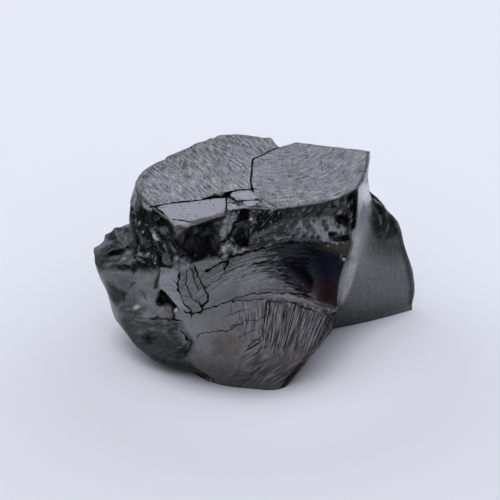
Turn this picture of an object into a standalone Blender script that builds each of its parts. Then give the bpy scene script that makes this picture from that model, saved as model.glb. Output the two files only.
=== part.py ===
"""A lump of noble shungite: one solid piece of black, glassy carbon rock.

The stone stands on a small flat break. A flat parting plane closes it at the top, a hackly wall
drops from that plane's rim to a narrow ledge, and a curved fracture face bulges towards -Y below
it. A shelf sticks out to -X, and a long hollow on the +X side sweeps back to a thin heel.
Metres in Blender, millimetres in this file. +Z is up, and the origin is under the middle of the
stone's box.
"""

import bpy
import bmesh
import numpy as np
from mathutils import Matrix, Vector, kdtree

MM = 0.001
CELL = 0.6  # side of the woven grid's cells, before it is thinned
TRIANGLES = 9200  # what the thinned solid keeps
TOP = 29.5  # height of the parting plane
SEED = 7
EVENING = 3  # rounds of evening out the side's outward directions
SIDE_AREA = 3800.0  # square mm, about, of the side all round

# The ridges run up the stone, in order round it, counterclockwise seen from above.
RIDGES = (
    "left_front", "facet", "front_left", "front_right", "front_corner", "right_edge", "hollow",
    "heel_face", "heel_tip", "back_right", "notch", "crest", "back_left", "left_back",
    "left_tip", "left_flank",
)
SHARP_RIDGES = (
    "left_front", "right_edge", "hollow", "heel_tip", "back_right", "notch", "crest", "left_back",
)

# Each ring crosses every ridge once, from the flat break underneath to the rim of the top.
RINGS = {
    "base": (
        (-7.5, -11.0, 0.0), (-4.9, -12.1, 0.0), (-1.5, -12.9, 0.0), (2.3, -12.9, 0.0),
        (3.9, -12.2, 0.0), (4.9, -11.1, 0.0), (11.9, 3.6, 0.0), (18.4, 6.2, 0.0),
        (24.2, 9.3, 0.0), (19.0, 14.0, 0.0), (7.0, 12.5, 0.0), (2.0, 13.0, 0.0),
        (-7.0, 13.0, 0.0), (-15.0, 8.0, 0.0), (-12.5, -1.0, 0.0), (-10.0, -8.5, 0.0),
    ),
    "foot": (
        (-10.6, -11.3, 2.6), (-6.8, -13.4, 4.0), (-2.7, -13.9, 3.8), (2.9, -13.9, 4.0),
        (6.7, -12.5, 3.8), (8.6, -11.0, 5.4), (12.2, 2.8, 4.0), (18.1, 5.7, 3.7),
        (25.2, 10.6, 1.5), (20.0, 15.0, 3.5), (7.5, 14.0, 4.5), (2.0, 14.6, 5.0),
        (-8.0, 15.0, 4.0), (-17.6, 9.4, 4.0), (-18.9, -4.4, 3.4), (-14.4, -9.0, 1.9),
    ),
    "lower": (
        (-11.0, -12.0, 7.8), (-7.7, -14.2, 8.7), (-2.6, -14.8, 8.7), (3.5, -15.1, 9.2),
        (8.1, -13.3, 8.8), (10.4, -11.3, 8.7), (12.8, 0.5, 8.5), (17.4, 5.0, 9.0),
        (25.0, 10.5, 5.8), (21.0, 15.6, 9.0), (8.0, 14.8, 10.0), (2.5, 15.3, 9.5),
        (-8.5, 15.4, 9.0), (-19.9, 8.8, 8.0), (-21.6, -1.2, 5.6), (-16.2, -7.8, 7.2),
    ),
    "rib": (
        (-13.6, -11.7, 12.4), (-8.0, -14.0, 14.2), (-2.9, -14.4, 16.5), (4.3, -15.0, 17.6),
        (8.7, -14.0, 15.7), (11.4, -12.1, 14.2), (13.5, -1.8, 13.4), (16.6, 4.0, 14.1),
        (23.4, 10.0, 11.2), (20.3, 14.8, 13.5), (8.0, 14.8, 15.5), (2.5, 15.3, 15.0),
        (-9.0, 15.3, 14.0), (-21.0, 8.2, 12.0), (-23.6, -1.0, 10.4), (-19.1, -6.2, 10.6),
    ),
    "trough": (
        (-14.7, -11.2, 16.2), (-8.7, -13.4, 18.0), (-2.9, -13.8, 19.9), (4.3, -13.8, 21.4),
        (9.3, -12.8, 19.3), (11.8, -11.1, 17.6), (14.2, -1.6, 18.5), (16.3, 4.0, 19.0),
        (21.8, 9.5, 16.3), (18.3, 13.9, 17.5), (8.0, 14.0, 19.5), (2.8, 14.8, 19.5),
        (-8.5, 14.8, 18.5), (-20.6, 7.8, 15.0), (-24.9, -0.6, 13.7), (-19.5, -6.0, 13.9),
    ),
    "ledge": (
        (-14.7, -11.2, 19.8), (-9.6, -12.9, 21.7), (-3.2, -13.2, 23.0), (4.7, -12.8, 24.9),
        (9.7, -11.6, 22.7), (12.7, -9.8, 20.5), (14.7, -1.4, 20.8), (16.6, 4.6, 22.0),
        (19.9, 9.2, 19.6), (16.6, 12.8, 20.5), (7.8, 13.0, 22.5), (3.0, 14.2, 22.5),
        (-8.0, 14.2, 21.5), (-19.8, 7.6, 17.0), (-25.1, 0.6, 15.2), (-19.6, -6.0, 17.1),
    ),
    "shelf": (
        (-14.3, -10.8, 21.2), (-9.8, -12.4, 23.0), (-3.0, -12.7, 24.2), (4.8, -12.3, 25.3),
        (10.4, -10.7, 23.7), (13.6, -8.8, 22.2), (14.9, -1.4, 22.6), (16.8, 5.2, 24.0),
        (18.3, 8.6, 22.0), (15.2, 11.4, 23.0), (7.0, 12.0, 24.5), (3.0, 13.6, 24.5),
        (-7.0, 13.8, 24.0), (-18.0, 7.6, 18.6), (-22.0, 1.6, 19.3), (-19.2, -5.2, 19.0),
    ),
    "neck": (
        (-14.9, -11.3, 25.2), (-9.7, -13.7, 26.2), (-3.7, -11.9, 26.9), (4.5, -11.1, 27.5),
        (11.0, -8.0, 26.0), (14.4, -5.5, 24.6), (15.1, -1.2, 26.2), (16.4, 3.8, 26.5),
        (17.1, 7.3, 26.0), (9.5, 10.4, 27.0), (4.3, 9.6, 27.0), (2.8, 12.2, 27.0),
        (-5.2, 13.4, 27.0), (-15.4, 6.2, 21.0), (-19.4, 1.0, 19.9), (-18.1, -4.2, 20.5),
    ),
    "rim": (
        (-15.5, -11.3, TOP), (-10.5, -16.0, TOP), (-4.4, -11.6, TOP), (3.2, -11.0, TOP),
        (12.2, -7.2, TOP), (14.5, -4.4, TOP), (15.6, -1.3, TOP), (16.2, 2.6, TOP),
        (16.7, 6.8, TOP), (5.8, 10.0, TOP), (3.3, 8.4, TOP), (2.0, 11.6, TOP),
        (-4.6, 12.8, TOP), (-13.4, 5.7, TOP), (-17.2, -1.2, TOP), (-17.4, -6.8, TOP),
    ),
}
SHARP_RINGS = ("base", "ledge", "shelf", "neck", "rim")

# Fields of dished chips: how far across one is, how much longer than wide, how far it leans from
# upright in degrees, how deep the field goes, and how much of that stands proud of the cage.
CHIPS = {
    "front_wall": (1.7, 2.2, 20, 0.7, 0.0),
    "left_wall": (2.4, 2.0, -35, 1.2, 0.0),
    "left_shelf": (3.2, 0.8, 0, 1.3, 0.1),
    "left_flank": (4.5, 1.2, 30, 0.5, 0.2),
    "back": (7.0, 1.3, 25, 1.2, 0.2),
    "heel_top": (2.8, 1.3, -25, 0.9, 0.3),
}
RIB_HEIGHT = 0.25  # of the roll across the fracture face
RIB_WIDTH = 0.14  # in rings

# Hollows broken out of the sides: the middle, how far each reaches along X, Y and Z, the depth.
HOLLOWS = {
    "under_the_rim": ((-8.4, -13.0, 24.8), (3.4, 3.0, 2.6), 2.2),
    "wall_pit": ((-3.6, -11.8, 25.6), (1.2, 2.0, 1.7), 1.2),
    "corner_pit": ((12.7, -7.0, 25.6), (1.3, 2.0, 1.0), 1.0),
    "corner_dip": ((11.8, -8.6, 23.8), (1.2, 2.0, 1.0), 0.7),
    "flank_pit": ((-14.0, -11.5, 14.3), (1.8, 2.4, 1.3), 1.1),
    "shelf_dip": ((-21.0, -2.4, 17.6), (2.4, 2.4, 2.0), 1.1),
}

# Cracks in the parting plane, as points along each (x, y) with the crack's width there.
CRACKS = {
    "long": (
        (-18.0, -11.6, 0.4), (-15.1, -10.3, 0.4), (-11.3, -8.9, 0.4), (-8.4, -8.3, 0.45),
        (-6.2, -7.3, 0.5), (-5.0, -6.6, 1.5), (-4.2, -6.4, 0.6), (-2.7, -5.4, 0.35),
        (-0.9, -5.0, 0.35),
    ),
    "stem": (
        (-0.9, -5.4, 0.3), (-1.1, -2.2, 0.3), (-0.9, 3.2, 0.3), (-0.7, 4.6, 0.3),
        (1.8, 7.1, 0.3), (4.4, 9.4, 0.3),
    ),
    "side": ((-4.6, -6.8, 0.3), (-4.6, -9.8, 0.3), (-4.5, -13.0, 0.3)),
}
CRACK_DEPTH = 0.9

# The slab in front of the long crack has tipped a little towards the rim.
SLAB_HINGE = ((-18.6, -11.8), (-15.1, -10.3), (-11.3, -8.9), (-8.4, -8.3), (-4.6, -7.2))
SLAB_FALL = 0.19  # mm down for each mm out
SLAB_REACH = 11.0


def blend(points, sharp, counts, closed):
    """Points along a smooth line through points[i], which turns a corner where sharp[i] is true."""
    total = len(points)
    spans = total if closed else total - 1
    after = [(i + 1) % total for i in range(spans)]
    steps = [points[after[i]] - points[i] for i in range(spans)]
    lengths = [np.maximum(np.linalg.norm(s, axis=-1, keepdims=True), 1e-6) for s in steps]

    def heading(i, leaving):
        before, here = (i - 1) % spans, i % spans
        if sharp[i] or (not closed and i in (0, total - 1)):
            span = here if leaving else before
            return steps[span] / lengths[span]
        a, b = lengths[before], lengths[here]
        return (steps[before] / a * b + steps[here] / b * a) / (a + b)

    made = []
    for i in range(spans):
        start = heading(i, True) * lengths[i]
        end = heading(after[i], False) * lengths[i]
        for t in np.arange(counts[i]) / counts[i]:
            made.append(
                (2 * t**3 - 3 * t**2 + 1) * points[i] + (t**3 - 2 * t**2 + t) * start
                + (3 * t**2 - 2 * t**3) * points[after[i]] + (t**3 - t**2) * end
            )
    if not closed:
        made.append(points[-1])
    return np.array(made)


def cells_per_span(points, closed):
    """How many cells each span of points[i] takes, from its mean length over the other axis."""
    steps = np.roll(points, -1, axis=0) - points if closed else np.diff(points, axis=0)
    lengths = np.linalg.norm(steps, axis=-1).mean(axis=1)
    return np.maximum(1, np.round(lengths / CELL)).astype(int)


def places(counts, closed):
    """Where each row or column of cells lies, counted in rings or ridges."""
    made = np.concatenate([i + np.arange(n) / n for i, n in enumerate(counts)])
    return made if closed else np.append(made, len(counts))


def woven_side():
    """The side of the stone: points in rows from base to rim, and where rows and columns lie."""
    cage = np.array(list(RINGS.values())).transpose(1, 0, 2)
    around = cells_per_span(cage, True)
    columns = blend(cage, [name in SHARP_RIDGES for name in RIDGES], around, True)
    rows = columns.transpose(1, 0, 2)
    upward = cells_per_span(rows, False)
    grid = blend(rows, [name in SHARP_RINGS for name in RINGS], upward, False)
    return grid, places(upward, False), places(around, True)


def side_normals(grid):
    """Outward directions over the side, evened out so that neighbours don't cross at a corner."""
    along = np.roll(grid, -1, axis=1) - np.roll(grid, 1, axis=1)
    made = np.cross(along, np.gradient(grid, axis=0))
    for _ in range(EVENING):
        made = made / np.maximum(np.linalg.norm(made, axis=-1, keepdims=True), 1e-9)
        made = made + np.roll(made, 1, axis=1) + np.roll(made, -1, axis=1)
        made[1:-1] = made[1:-1] + made[:-2] + made[2:]
    return made / np.maximum(np.linalg.norm(made, axis=-1, keepdims=True), 1e-9)


def between(value, low, high, soft):
    """1 from low to high, falling to 0 over soft on either side."""
    return np.clip((value - low) / soft + 1, 0, 1) * np.clip((high - value) / soft + 1, 0, 1)


def chips(points, name, rng):
    """Depths of one field of dished chips that meet in ridges."""
    size, stretch, lean, deepest, proud = CHIPS[name]
    lean_back = np.array(Matrix.Rotation(np.radians(lean), 3, "Y"))
    turned = points @ lean_back / (1.0, 1.0, stretch)
    picks = rng.random((int(SIDE_AREA / size**2), 2)) * points.shape[:2]
    tree = kdtree.KDTree(len(picks))
    for index, (row, column) in enumerate(picks.astype(int)):
        tree.insert(turned[row, column], index)
    tree.balance()
    far = np.array([tree.find(p)[2] for p in turned.reshape(-1, 3)]).reshape(points.shape[:2])
    return deepest * (np.clip(1 - (far / size) ** 2, 0, 1) - proud)


def hollow(points, middle, reach, depth):
    """Depths of a dished hollow with a crisp edge."""
    far = np.linalg.norm((points - middle) / reach, axis=-1)
    return depth * np.clip(1 - far**2, 0, 1)


def broken_side():
    """The woven side with its rib, its chipped wall and shelf, its rough back and its hollows."""
    grid, rows, columns = woven_side()
    rng = np.random.default_rng(SEED)
    normals = side_normals(grid)
    ring = {name: i for i, name in enumerate(RINGS)}
    ridge = {name: i for i, name in enumerate(RIDGES)}
    row = rows[:, None]
    column = columns[None, :]
    past_left_tip = between(column, ridge["left_tip"] - 0.3, len(RIDGES), 0.5)
    before_left_front = between(column, -1, 0.15, 0.4)
    left = np.maximum(past_left_tip, before_left_front)
    front = between(column, ridge["facet"], ridge["right_edge"] - 0.2, 0.3)
    back = between(column, ridge["heel_tip"] + 0.3, ridge["left_tip"] - 0.8, 0.4)
    heel = between(column, ridge["heel_tip"] - 0.35, ridge["heel_tip"] + 0.4, 0.5)
    wall = between(row, ring["shelf"] + 0.2, ring["rim"] - 0.25, 0.25)
    shelf = between(row, ring["trough"] + 0.7, ring["neck"] - 0.1, 0.4)
    below = between(row, ring["base"] + 0.4, ring["trough"] + 0.2, 0.5)
    clear = between(row, ring["base"] + 0.4, ring["rim"] - 0.5, 0.5)
    upper = between(row, ring["ledge"], ring["shelf"] + 0.5, 1.5)

    depth = wall * front * chips(grid, "front_wall", rng)
    depth += wall * left * chips(grid, "left_wall", rng)
    depth += shelf * left * chips(grid, "left_shelf", rng)
    depth += below * left * chips(grid, "left_flank", rng)
    depth += clear * back * chips(grid, "back", rng)
    depth += upper * heel * chips(grid, "heel_top", rng)
    depth -= RIB_HEIGHT * front * np.exp(-((row - ring["rib"]) / RIB_WIDTH) ** 2)
    for middle, reach, deepest in HOLLOWS.values():
        depth += hollow(grid, middle, reach, deepest)
    depth[0] = 0
    depth[-1] = 0
    return grid - normals * depth[..., None]


def stone_mesh():
    grid = broken_side()
    columns = grid.shape[1]
    mesh = bmesh.new()
    verts = [[mesh.verts.new(p * MM) for p in row] for row in grid]
    for low, high in zip(verts, verts[1:]):
        for j in range(columns):
            k = (j + 1) % columns
            mesh.faces.new((low[j], low[k], high[k], high[j]))
    mesh.faces.new(verts[0][::-1])
    mesh.faces.new(verts[-1])
    mesh.normal_update()
    bmesh.ops.triangulate(mesh, faces=mesh.faces[:])
    data = bpy.data.meshes.new("stone")
    mesh.to_mesh(data)
    mesh.free()
    return data


def add_object(name, data):
    made = bpy.data.objects.new(name, data)
    bpy.context.scene.collection.objects.link(made)
    return made


def prism(name, sections):
    """A closed solid through sections, which are rings of as many points each, in order."""
    mesh = bmesh.new()
    rings = [[mesh.verts.new(Vector(p) * MM) for p in section] for section in sections]
    mesh.faces.new(rings[0])
    mesh.faces.new(rings[-1][::-1])
    for one, two in zip(rings, rings[1:]):
        for i in range(len(one)):
            j = (i + 1) % len(one)
            mesh.faces.new((one[j], one[i], two[i], two[j]))
    bmesh.ops.recalc_face_normals(mesh, faces=mesh.faces[:])
    data = bpy.data.meshes.new(name)
    mesh.to_mesh(data)
    mesh.free()
    cutter = add_object(name, data)
    cutter.hide_render = True
    cutter.display_type = "WIRE"
    return cutter


def crack_cutter(name, line):
    """A wedge with its edge down, along a crack in the parting plane."""
    points = np.array(line)
    heading = np.gradient(points[:, :2], axis=0)
    heading /= np.linalg.norm(heading, axis=1, keepdims=True)
    sections = []
    for (x, y, width), (along_x, along_y) in zip(points, heading):
        across = np.array((-along_y, along_x)) * width
        sections.append((
            (x - across[0], y - across[1], TOP + CRACK_DEPTH),
            (x + across[0], y + across[1], TOP + CRACK_DEPTH),
            (x, y, TOP - CRACK_DEPTH),
        ))
    return prism(name, sections)


def slab_cutter():
    """What lies above the slab that has tipped towards the rim."""
    sections = []
    for x, y in SLAB_HINGE:
        out = y - SLAB_REACH
        sections.append((
            (x, y, TOP + 1), (x, y, TOP), (x, out, TOP - SLAB_FALL * SLAB_REACH), (x, out, TOP + 1),
        ))
    return prism("slab", sections)


def centre_on_origin(data, others):
    """Slides the meshes so that the middle of the first one's box is over the origin."""
    corners = np.array([vertex.co for vertex in data.vertices])
    middle = (corners.min(axis=0) + corners.max(axis=0)) / 2
    slide = Matrix.Translation((-middle[0], -middle[1], 0.0))
    for mesh in [data, *others]:
        mesh.transform(slide)


def shungite():
    material = bpy.data.materials.new("shungite")
    material.use_nodes = True
    shader = material.node_tree.nodes["Principled BSDF"]
    shader.inputs["Base Color"].default_value = (0.02, 0.02, 0.023, 1.0)
    shader.inputs["Roughness"].default_value = 0.3
    shader.inputs["Metallic"].default_value = 0.0
    return material


def main():
    for obj in list(bpy.data.objects):
        bpy.data.objects.remove(obj)
    stone = add_object("stone", stone_mesh())
    stone.data.materials.append(shungite())
    thin = stone.modifiers.new("thin", "DECIMATE")
    thin.ratio = TRIANGLES / len(stone.data.polygons)
    cutters = [slab_cutter()] + [crack_cutter(name, line) for name, line in CRACKS.items()]
    centre_on_origin(stone.data, [cutter.data for cutter in cutters])
    for cutter in cutters:
        cut = stone.modifiers.new(cutter.name, "BOOLEAN")
        cut.operation = "DIFFERENCE"
        cut.object = cutter


main()
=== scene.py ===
import time

import bpy
import numpy as np
from mathutils import Matrix, Vector, geometry, kdtree


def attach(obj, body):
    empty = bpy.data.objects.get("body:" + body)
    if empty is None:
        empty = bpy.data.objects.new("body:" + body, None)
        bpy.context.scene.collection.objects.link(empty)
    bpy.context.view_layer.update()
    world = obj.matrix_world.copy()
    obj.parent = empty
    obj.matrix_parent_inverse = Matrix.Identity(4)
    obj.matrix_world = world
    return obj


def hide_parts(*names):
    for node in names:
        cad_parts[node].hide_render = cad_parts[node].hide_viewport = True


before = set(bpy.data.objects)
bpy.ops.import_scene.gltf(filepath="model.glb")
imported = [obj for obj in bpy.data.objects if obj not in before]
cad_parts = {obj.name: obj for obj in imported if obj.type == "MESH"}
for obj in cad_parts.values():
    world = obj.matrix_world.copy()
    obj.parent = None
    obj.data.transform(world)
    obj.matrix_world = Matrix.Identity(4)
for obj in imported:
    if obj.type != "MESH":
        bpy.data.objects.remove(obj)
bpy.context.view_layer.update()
started = time.time()


def report(stage):
    print(f"{stage} ({time.time() - started:.1f} s)")


# lengths of the stone are in millimetres here and become metres when its mesh is made
mm = 0.001

view = {
    "target": (-1.2, -3.5, 18.4),
    "distance": 300.0,
    "elevation": 30.0,  # degrees above the floor, looking along +Y
    "lens": 144.94,
    "sensor": 36.0,
    "frame": 500.0,  # pixels across; places on the faces seen from the front are given in them
}

shape = {
    "seed": 7,
    "top": 29.5,  # height of the parting plane
    "rounds": 3,  # of evening out the outward directions
    "sideArea": 3800.0,
    "coarseCell": 0.6,  # the solid's own cell, which places the chips
    "edgeAngle": 38.0,  # degrees; a sharper bend in the mesh shows as an edge
}

# ridges run up the stone, counterclockwise seen from above, each with its cell size and corner flag
ridges = {
    "leftFront": (0.17, True),
    "facet": (0.17, False),
    "frontLeft": (0.15, False),
    "frontRight": (0.15, False),
    "frontCorner": (0.15, False),
    "rightEdge": (0.26, True),
    "hollow": (0.32, True),
    "heelFace": (0.32, False),
    "heelTip": (0.36, True),
    "backRight": (0.36, True),
    "notch": (0.36, True),
    "crest": (0.36, True),
    "backLeft": (0.34, False),
    "leftBack": (0.24, True),
    "leftTip": (0.2, False),
    "leftFlank": (0.2, False),
}

# rings cross every ridge once, from the flat break below to the rim, each with its cell size and flag
rings = {
    "base": (0.3, True, (
        (-7.5, -11.1, 0.0), (-4.9, -12.3, 0.0), (-1.5, -13.0, 0.0), (3.4, -13.1, 0.0),
        (4.1, -12.6, 0.0), (4.9, -11.3, 0.0), (11.9, 3.6, 0.0), (18.4, 6.2, 0.0),
        (24.6, 9.3, 0.0), (19.0, 14.0, 0.0), (7.0, 12.5, 0.0), (2.0, 13.0, 0.0),
        (-7.0, 13.0, 0.0), (-15.0, 8.0, 0.0), (-12.5, -1.0, 0.0), (-10.0, -8.5, 0.0),
    )),
    "foot": (0.24, False, (
        (-10.6, -11.3, 2.6), (-6.8, -13.4, 4.0), (-2.7, -13.9, 3.8), (2.9, -13.9, 4.0),
        (6.7, -12.5, 3.8), (8.6, -11.0, 5.4), (12.2, 2.8, 4.0), (18.1, 5.7, 3.7),
        (25.2, 10.6, 1.5), (20.0, 15.0, 3.5), (7.5, 14.0, 4.5), (2.0, 14.6, 5.0),
        (-8.0, 15.0, 4.0), (-17.6, 9.4, 4.0), (-19.4, -4.7, 3.3), (-14.8, -9.3, 1.8),
    )),
    "lower": (0.2, False, (
        (-11.0, -12.0, 7.8), (-7.7, -14.2, 8.7), (-2.6, -14.8, 8.7), (3.5, -15.1, 9.2),
        (8.1, -13.3, 8.8), (10.4, -11.3, 8.7), (12.8, 0.5, 8.5), (17.4, 5.0, 9.0),
        (24.9, 10.5, 5.8), (21.0, 15.6, 9.0), (8.0, 14.8, 10.0), (2.5, 15.3, 9.5),
        (-8.5, 15.4, 9.0), (-19.9, 8.8, 8.0), (-22.3, -1.4, 5.6), (-16.4, -7.8, 7.1),
    )),
    "rib": (0.17, False, (
        (-13.6, -11.7, 12.4), (-8.0, -14.0, 14.2), (-2.9, -14.4, 16.5), (4.3, -15.0, 17.6),
        (8.7, -14.0, 15.7), (11.4, -12.1, 14.2), (13.5, -1.8, 13.4), (16.6, 4.0, 14.1),
        (23.1, 10.0, 11.2), (20.3, 14.8, 13.5), (8.0, 14.8, 15.5), (2.5, 15.3, 15.0),
        (-9.0, 15.3, 14.0), (-21.0, 8.2, 12.0), (-23.6, -1.0, 10.4), (-19.1, -6.2, 10.6),
    )),
    "trough": (0.18, False, (
        (-14.7, -11.2, 16.2), (-8.7, -13.4, 18.0), (-2.9, -13.8, 19.9), (4.3, -13.8, 21.4),
        (9.3, -12.8, 19.3), (11.8, -11.1, 17.6), (14.2, -1.6, 18.5), (16.3, 4.0, 19.0),
        (21.6, 9.5, 16.3), (18.3, 13.9, 17.5), (8.0, 14.0, 19.5), (2.8, 14.8, 19.5),
        (-8.5, 14.8, 18.5), (-20.6, 7.8, 15.0), (-24.9, -0.6, 13.7), (-19.5, -6.0, 13.9),
    )),
    "ledge": (0.16, True, (
        (-14.7, -11.2, 19.8), (-9.6, -12.9, 21.7), (-3.2, -13.2, 23.0), (4.7, -12.8, 24.9),
        (9.7, -11.6, 22.7), (12.7, -9.8, 20.5), (14.7, -1.4, 20.8), (16.6, 4.6, 22.0),
        (19.3, 9.2, 19.6), (16.6, 12.8, 20.5), (7.8, 13.0, 22.5), (3.0, 14.2, 22.5),
        (-8.0, 14.2, 21.5), (-19.8, 7.6, 17.0), (-25.2, 0.6, 15.3), (-19.6, -6.0, 17.1),
    )),
    "shelf": (0.18, True, (
        (-14.3, -10.8, 21.2), (-9.8, -12.4, 23.0), (-3.0, -12.7, 24.2), (4.8, -12.3, 25.3),
        (10.4, -10.7, 23.7), (13.6, -8.8, 22.2), (14.9, -1.4, 22.6), (16.8, 5.2, 24.0),
        (17.4, 8.6, 22.0), (15.2, 11.4, 23.0), (7.0, 12.0, 24.5), (3.0, 13.6, 24.5),
        (-7.0, 13.8, 24.0), (-18.0, 7.6, 18.6), (-22.0, 1.6, 19.3), (-19.2, -5.2, 19.0),
    )),
    "neck": (0.2, True, (
        (-14.9, -11.3, 25.2), (-9.7, -13.7, 26.2), (-3.7, -11.9, 26.9), (4.5, -11.1, 27.5),
        (11.0, -8.0, 26.0), (14.4, -5.5, 24.6), (15.1, -1.2, 26.2), (16.4, 3.8, 26.5),
        (17.3, 7.4, 26.0), (9.5, 10.4, 27.0), (4.3, 9.6, 27.0), (2.8, 12.2, 27.0),
        (-5.2, 13.4, 27.0), (-15.4, 6.2, 21.0), (-19.4, 1.0, 19.9), (-18.4, -4.2, 20.5),
    )),
    "rim": (0.2, True, (
        (-15.4, -10.9, 29.2), (-10.9, -14.4, 28.5), (-4.4, -11.4, 29.4), (3.2, -11.0, 29.5),
        (12.2, -7.2, 29.5), (14.5, -4.4, 29.5), (15.7, -1.3, 29.5), (16.4, 2.6, 29.5),
        (17.0, 7.1, 29.5), (5.8, 10.2, 29.5), (3.3, 8.4, 29.5), (2.0, 11.6, 29.5),
        (-4.6, 12.8, 29.5), (-13.4, 5.7, 29.5), (-17.6, -0.8, 29.5), (-17.7, -6.8, 29.5),
    )),
}
ridgeAt = {name: index for index, name in enumerate(ridges)}
ringAt = {name: index for index, name in enumerate(rings)}


def blend(points, corners, counts, closed):
    # points along a smooth line through points[i], which turns a corner where corners[i] is true and
    # has counts[i] steps from there to the next
    total = len(points)
    spans = total if closed else total - 1
    after = [(i + 1) % total for i in range(spans)]
    steps = [points[after[i]] - points[i] for i in range(spans)]
    lengths = [np.maximum(np.linalg.norm(s, axis=-1, keepdims=True), 1e-6) for s in steps]

    def heading(i, leaving):
        before, here = (i - 1) % spans, i % spans
        if corners[i] or (not closed and i in (0, total - 1)):
            span = here if leaving else before
            return steps[span] / lengths[span]
        a, b = lengths[before], lengths[here]
        return (steps[before] / a * b + steps[here] / b * a) / (a + b)

    made = []
    for i in range(spans):
        start = heading(i, True) * lengths[i]
        end = heading(after[i], False) * lengths[i]
        for t in np.arange(counts[i]) / counts[i]:
            made.append(
                (2 * t**3 - 3 * t**2 + 1) * points[i] + (t**3 - 2 * t**2 + t) * start
                + (3 * t**2 - 2 * t**3) * points[after[i]] + (t**3 - t**2) * end
            )
    if not closed:
        made.append(points[-1])
    return np.array(made)


def cellsPerSpan(points, cells, closed):
    # how many cells fit between one point and the next
    steps = np.roll(points, -1, axis=0) - points if closed else np.diff(points, axis=0)
    lengths = np.linalg.norm(steps, axis=-1).mean(axis=1)
    return np.maximum(1, np.round(lengths / np.array(cells)[: len(lengths)])).astype(int)


def placesOf(counts, closed):
    # where each row or column lies, counted in rings or ridges
    made = np.concatenate([i + np.arange(n) / n for i, n in enumerate(counts)])
    return made if closed else np.append(made, len(counts))


def weave(ringCells, ridgeCells):
    # the side as a grid of points, rows by columns, and where its rows and columns lie
    cage = np.array([ring[2] for ring in rings.values()]).transpose(1, 0, 2)
    around = cellsPerSpan(cage, ridgeCells, True)
    rows = blend(cage, [ridge[1] for ridge in ridges.values()], around, True).transpose(1, 0, 2)
    upward = cellsPerSpan(rows, ringCells, False)
    grid = blend(rows, [ring[1] for ring in rings.values()], upward, False)
    return grid, placesOf(upward, False), placesOf(around, True)


def outwards(grid, rounds):
    # unit directions out of the grid, evened out with their neighbours
    along = np.roll(grid, -1, axis=1) - np.roll(grid, 1, axis=1)
    made = np.cross(along, np.gradient(grid, axis=0))
    for _ in range(rounds):
        made = made / np.maximum(np.linalg.norm(made, axis=-1, keepdims=True), 1e-9)
        made = made + np.roll(made, 1, axis=1) + np.roll(made, -1, axis=1)
        made[1:-1] = made[1:-1] + made[:-2] + made[2:]
    return made / np.maximum(np.linalg.norm(made, axis=-1, keepdims=True), 1e-9)


def between(value, low, high, soft):
    # 1 from low to high, falling to 0 over soft on either side
    return np.clip((value - low) / soft + 1, 0, 1) * np.clip((high - value) / soft + 1, 0, 1)


def sightLines():
    # the camera's forward and upward directions
    tilt = np.radians(view["elevation"])
    return np.array((0.0, np.cos(tilt), -np.sin(tilt))), np.array((0.0, np.sin(tilt), np.cos(tilt)))


def framePixels(points):
    # where points show in the camera's frame
    forward, upward = sightLines()
    away = points - (np.array(view["target"]) - forward * view["distance"])
    scale = view["lens"] / view["sensor"] * view["frame"] / (away @ forward)
    return view["frame"] / 2 + scale * away[..., 0], view["frame"] / 2 - scale * (away @ upward)


def lengthsAlong(line):
    # how far along a line each of its points is
    return np.append(0, np.cumsum(np.hypot(*np.diff(line[:, :2], axis=0).T)))


def lineFields(x, y, line):
    # distance from a line of points, the side it lies on and how far along it the nearest point is
    points = np.array(line, float)
    near = np.full(np.shape(x), 1e9)
    side = np.zeros(np.shape(x))
    along = np.zeros(np.shape(x))
    done = 0.0
    for (ax, ay), (bx, by) in zip(points[:, :2], points[1:, :2]):
        dx, dy = bx - ax, by - ay
        length = max(np.hypot(dx, dy), 1e-9)
        t = np.clip(((x - ax) * dx + (y - ay) * dy) / length**2, 0, 1)
        far = np.hypot(x - ax - t * dx, y - ay - t * dy)
        closer = far < near
        near = np.where(closer, far, near)
        side = np.where(closer, np.sign((x - ax) * dy - (y - ay) * dx), side)
        along = np.where(closer, done + t * length, along)
        done += length
    return near, side, along / done


def distanceIn(x, y, outline):
    # distance in from an outline, negative outside it
    points = np.array(outline, float)
    inside = np.zeros(np.shape(x), bool)
    for (ax, ay), (bx, by) in zip(points, np.roll(points, -1, axis=0)):
        crosses = (ay > y) != (by > y)
        inside ^= crosses & (x < (bx - ax) * (y - ay) / (by - ay if by != ay else 1e-9) + ax)
    near = lineFields(x, y, np.vstack([points, points[:1]]))[0]
    return np.where(inside, near, -near)


def insideOf(x, y, outline, soft):
    # 1 inside an outline, falling to 0 over soft on both sides of it
    return np.clip(0.5 + distanceIn(x, y, outline) / (2 * soft), 0, 1)


def smooth(value, low, high):
    t = np.clip((value - low) / (high - low), 0, 1)
    return t * t * (3 - 2 * t)


# fields of dished chips, in the solid's own order: size across, length to width, lean from upright
# in degrees, depth of the field and how much of that stands proud
chipFields = {
    "frontWall": (1.7, 2.2, 20, 0.7, 0.0),
    "leftWall": (3.0, 1.6, -35, 0.3, 0.5),
    "leftShelf": (3.2, 0.8, 0, 0.9, 0.05),
    "leftFlank": (4.5, 1.2, 30, 0.5, 0.2),
    "back": (7.0, 1.3, 25, 1.4, 0.2),
    "heelTop": (2.8, 1.3, -25, 0.7, 0.1),
}

# painted shade of the chips on the sides that the camera doesn't see
chipLustreAndShade = {
    "level": (-0.45, 0.2),
    "slope": 0.35,
    "border": 0.1,  # how far it blends into the next chip, in sizes
    "crumb": (-1.3, 0.6),  # how crumbly a dull chip is for its painted shade, and at most
}

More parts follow.
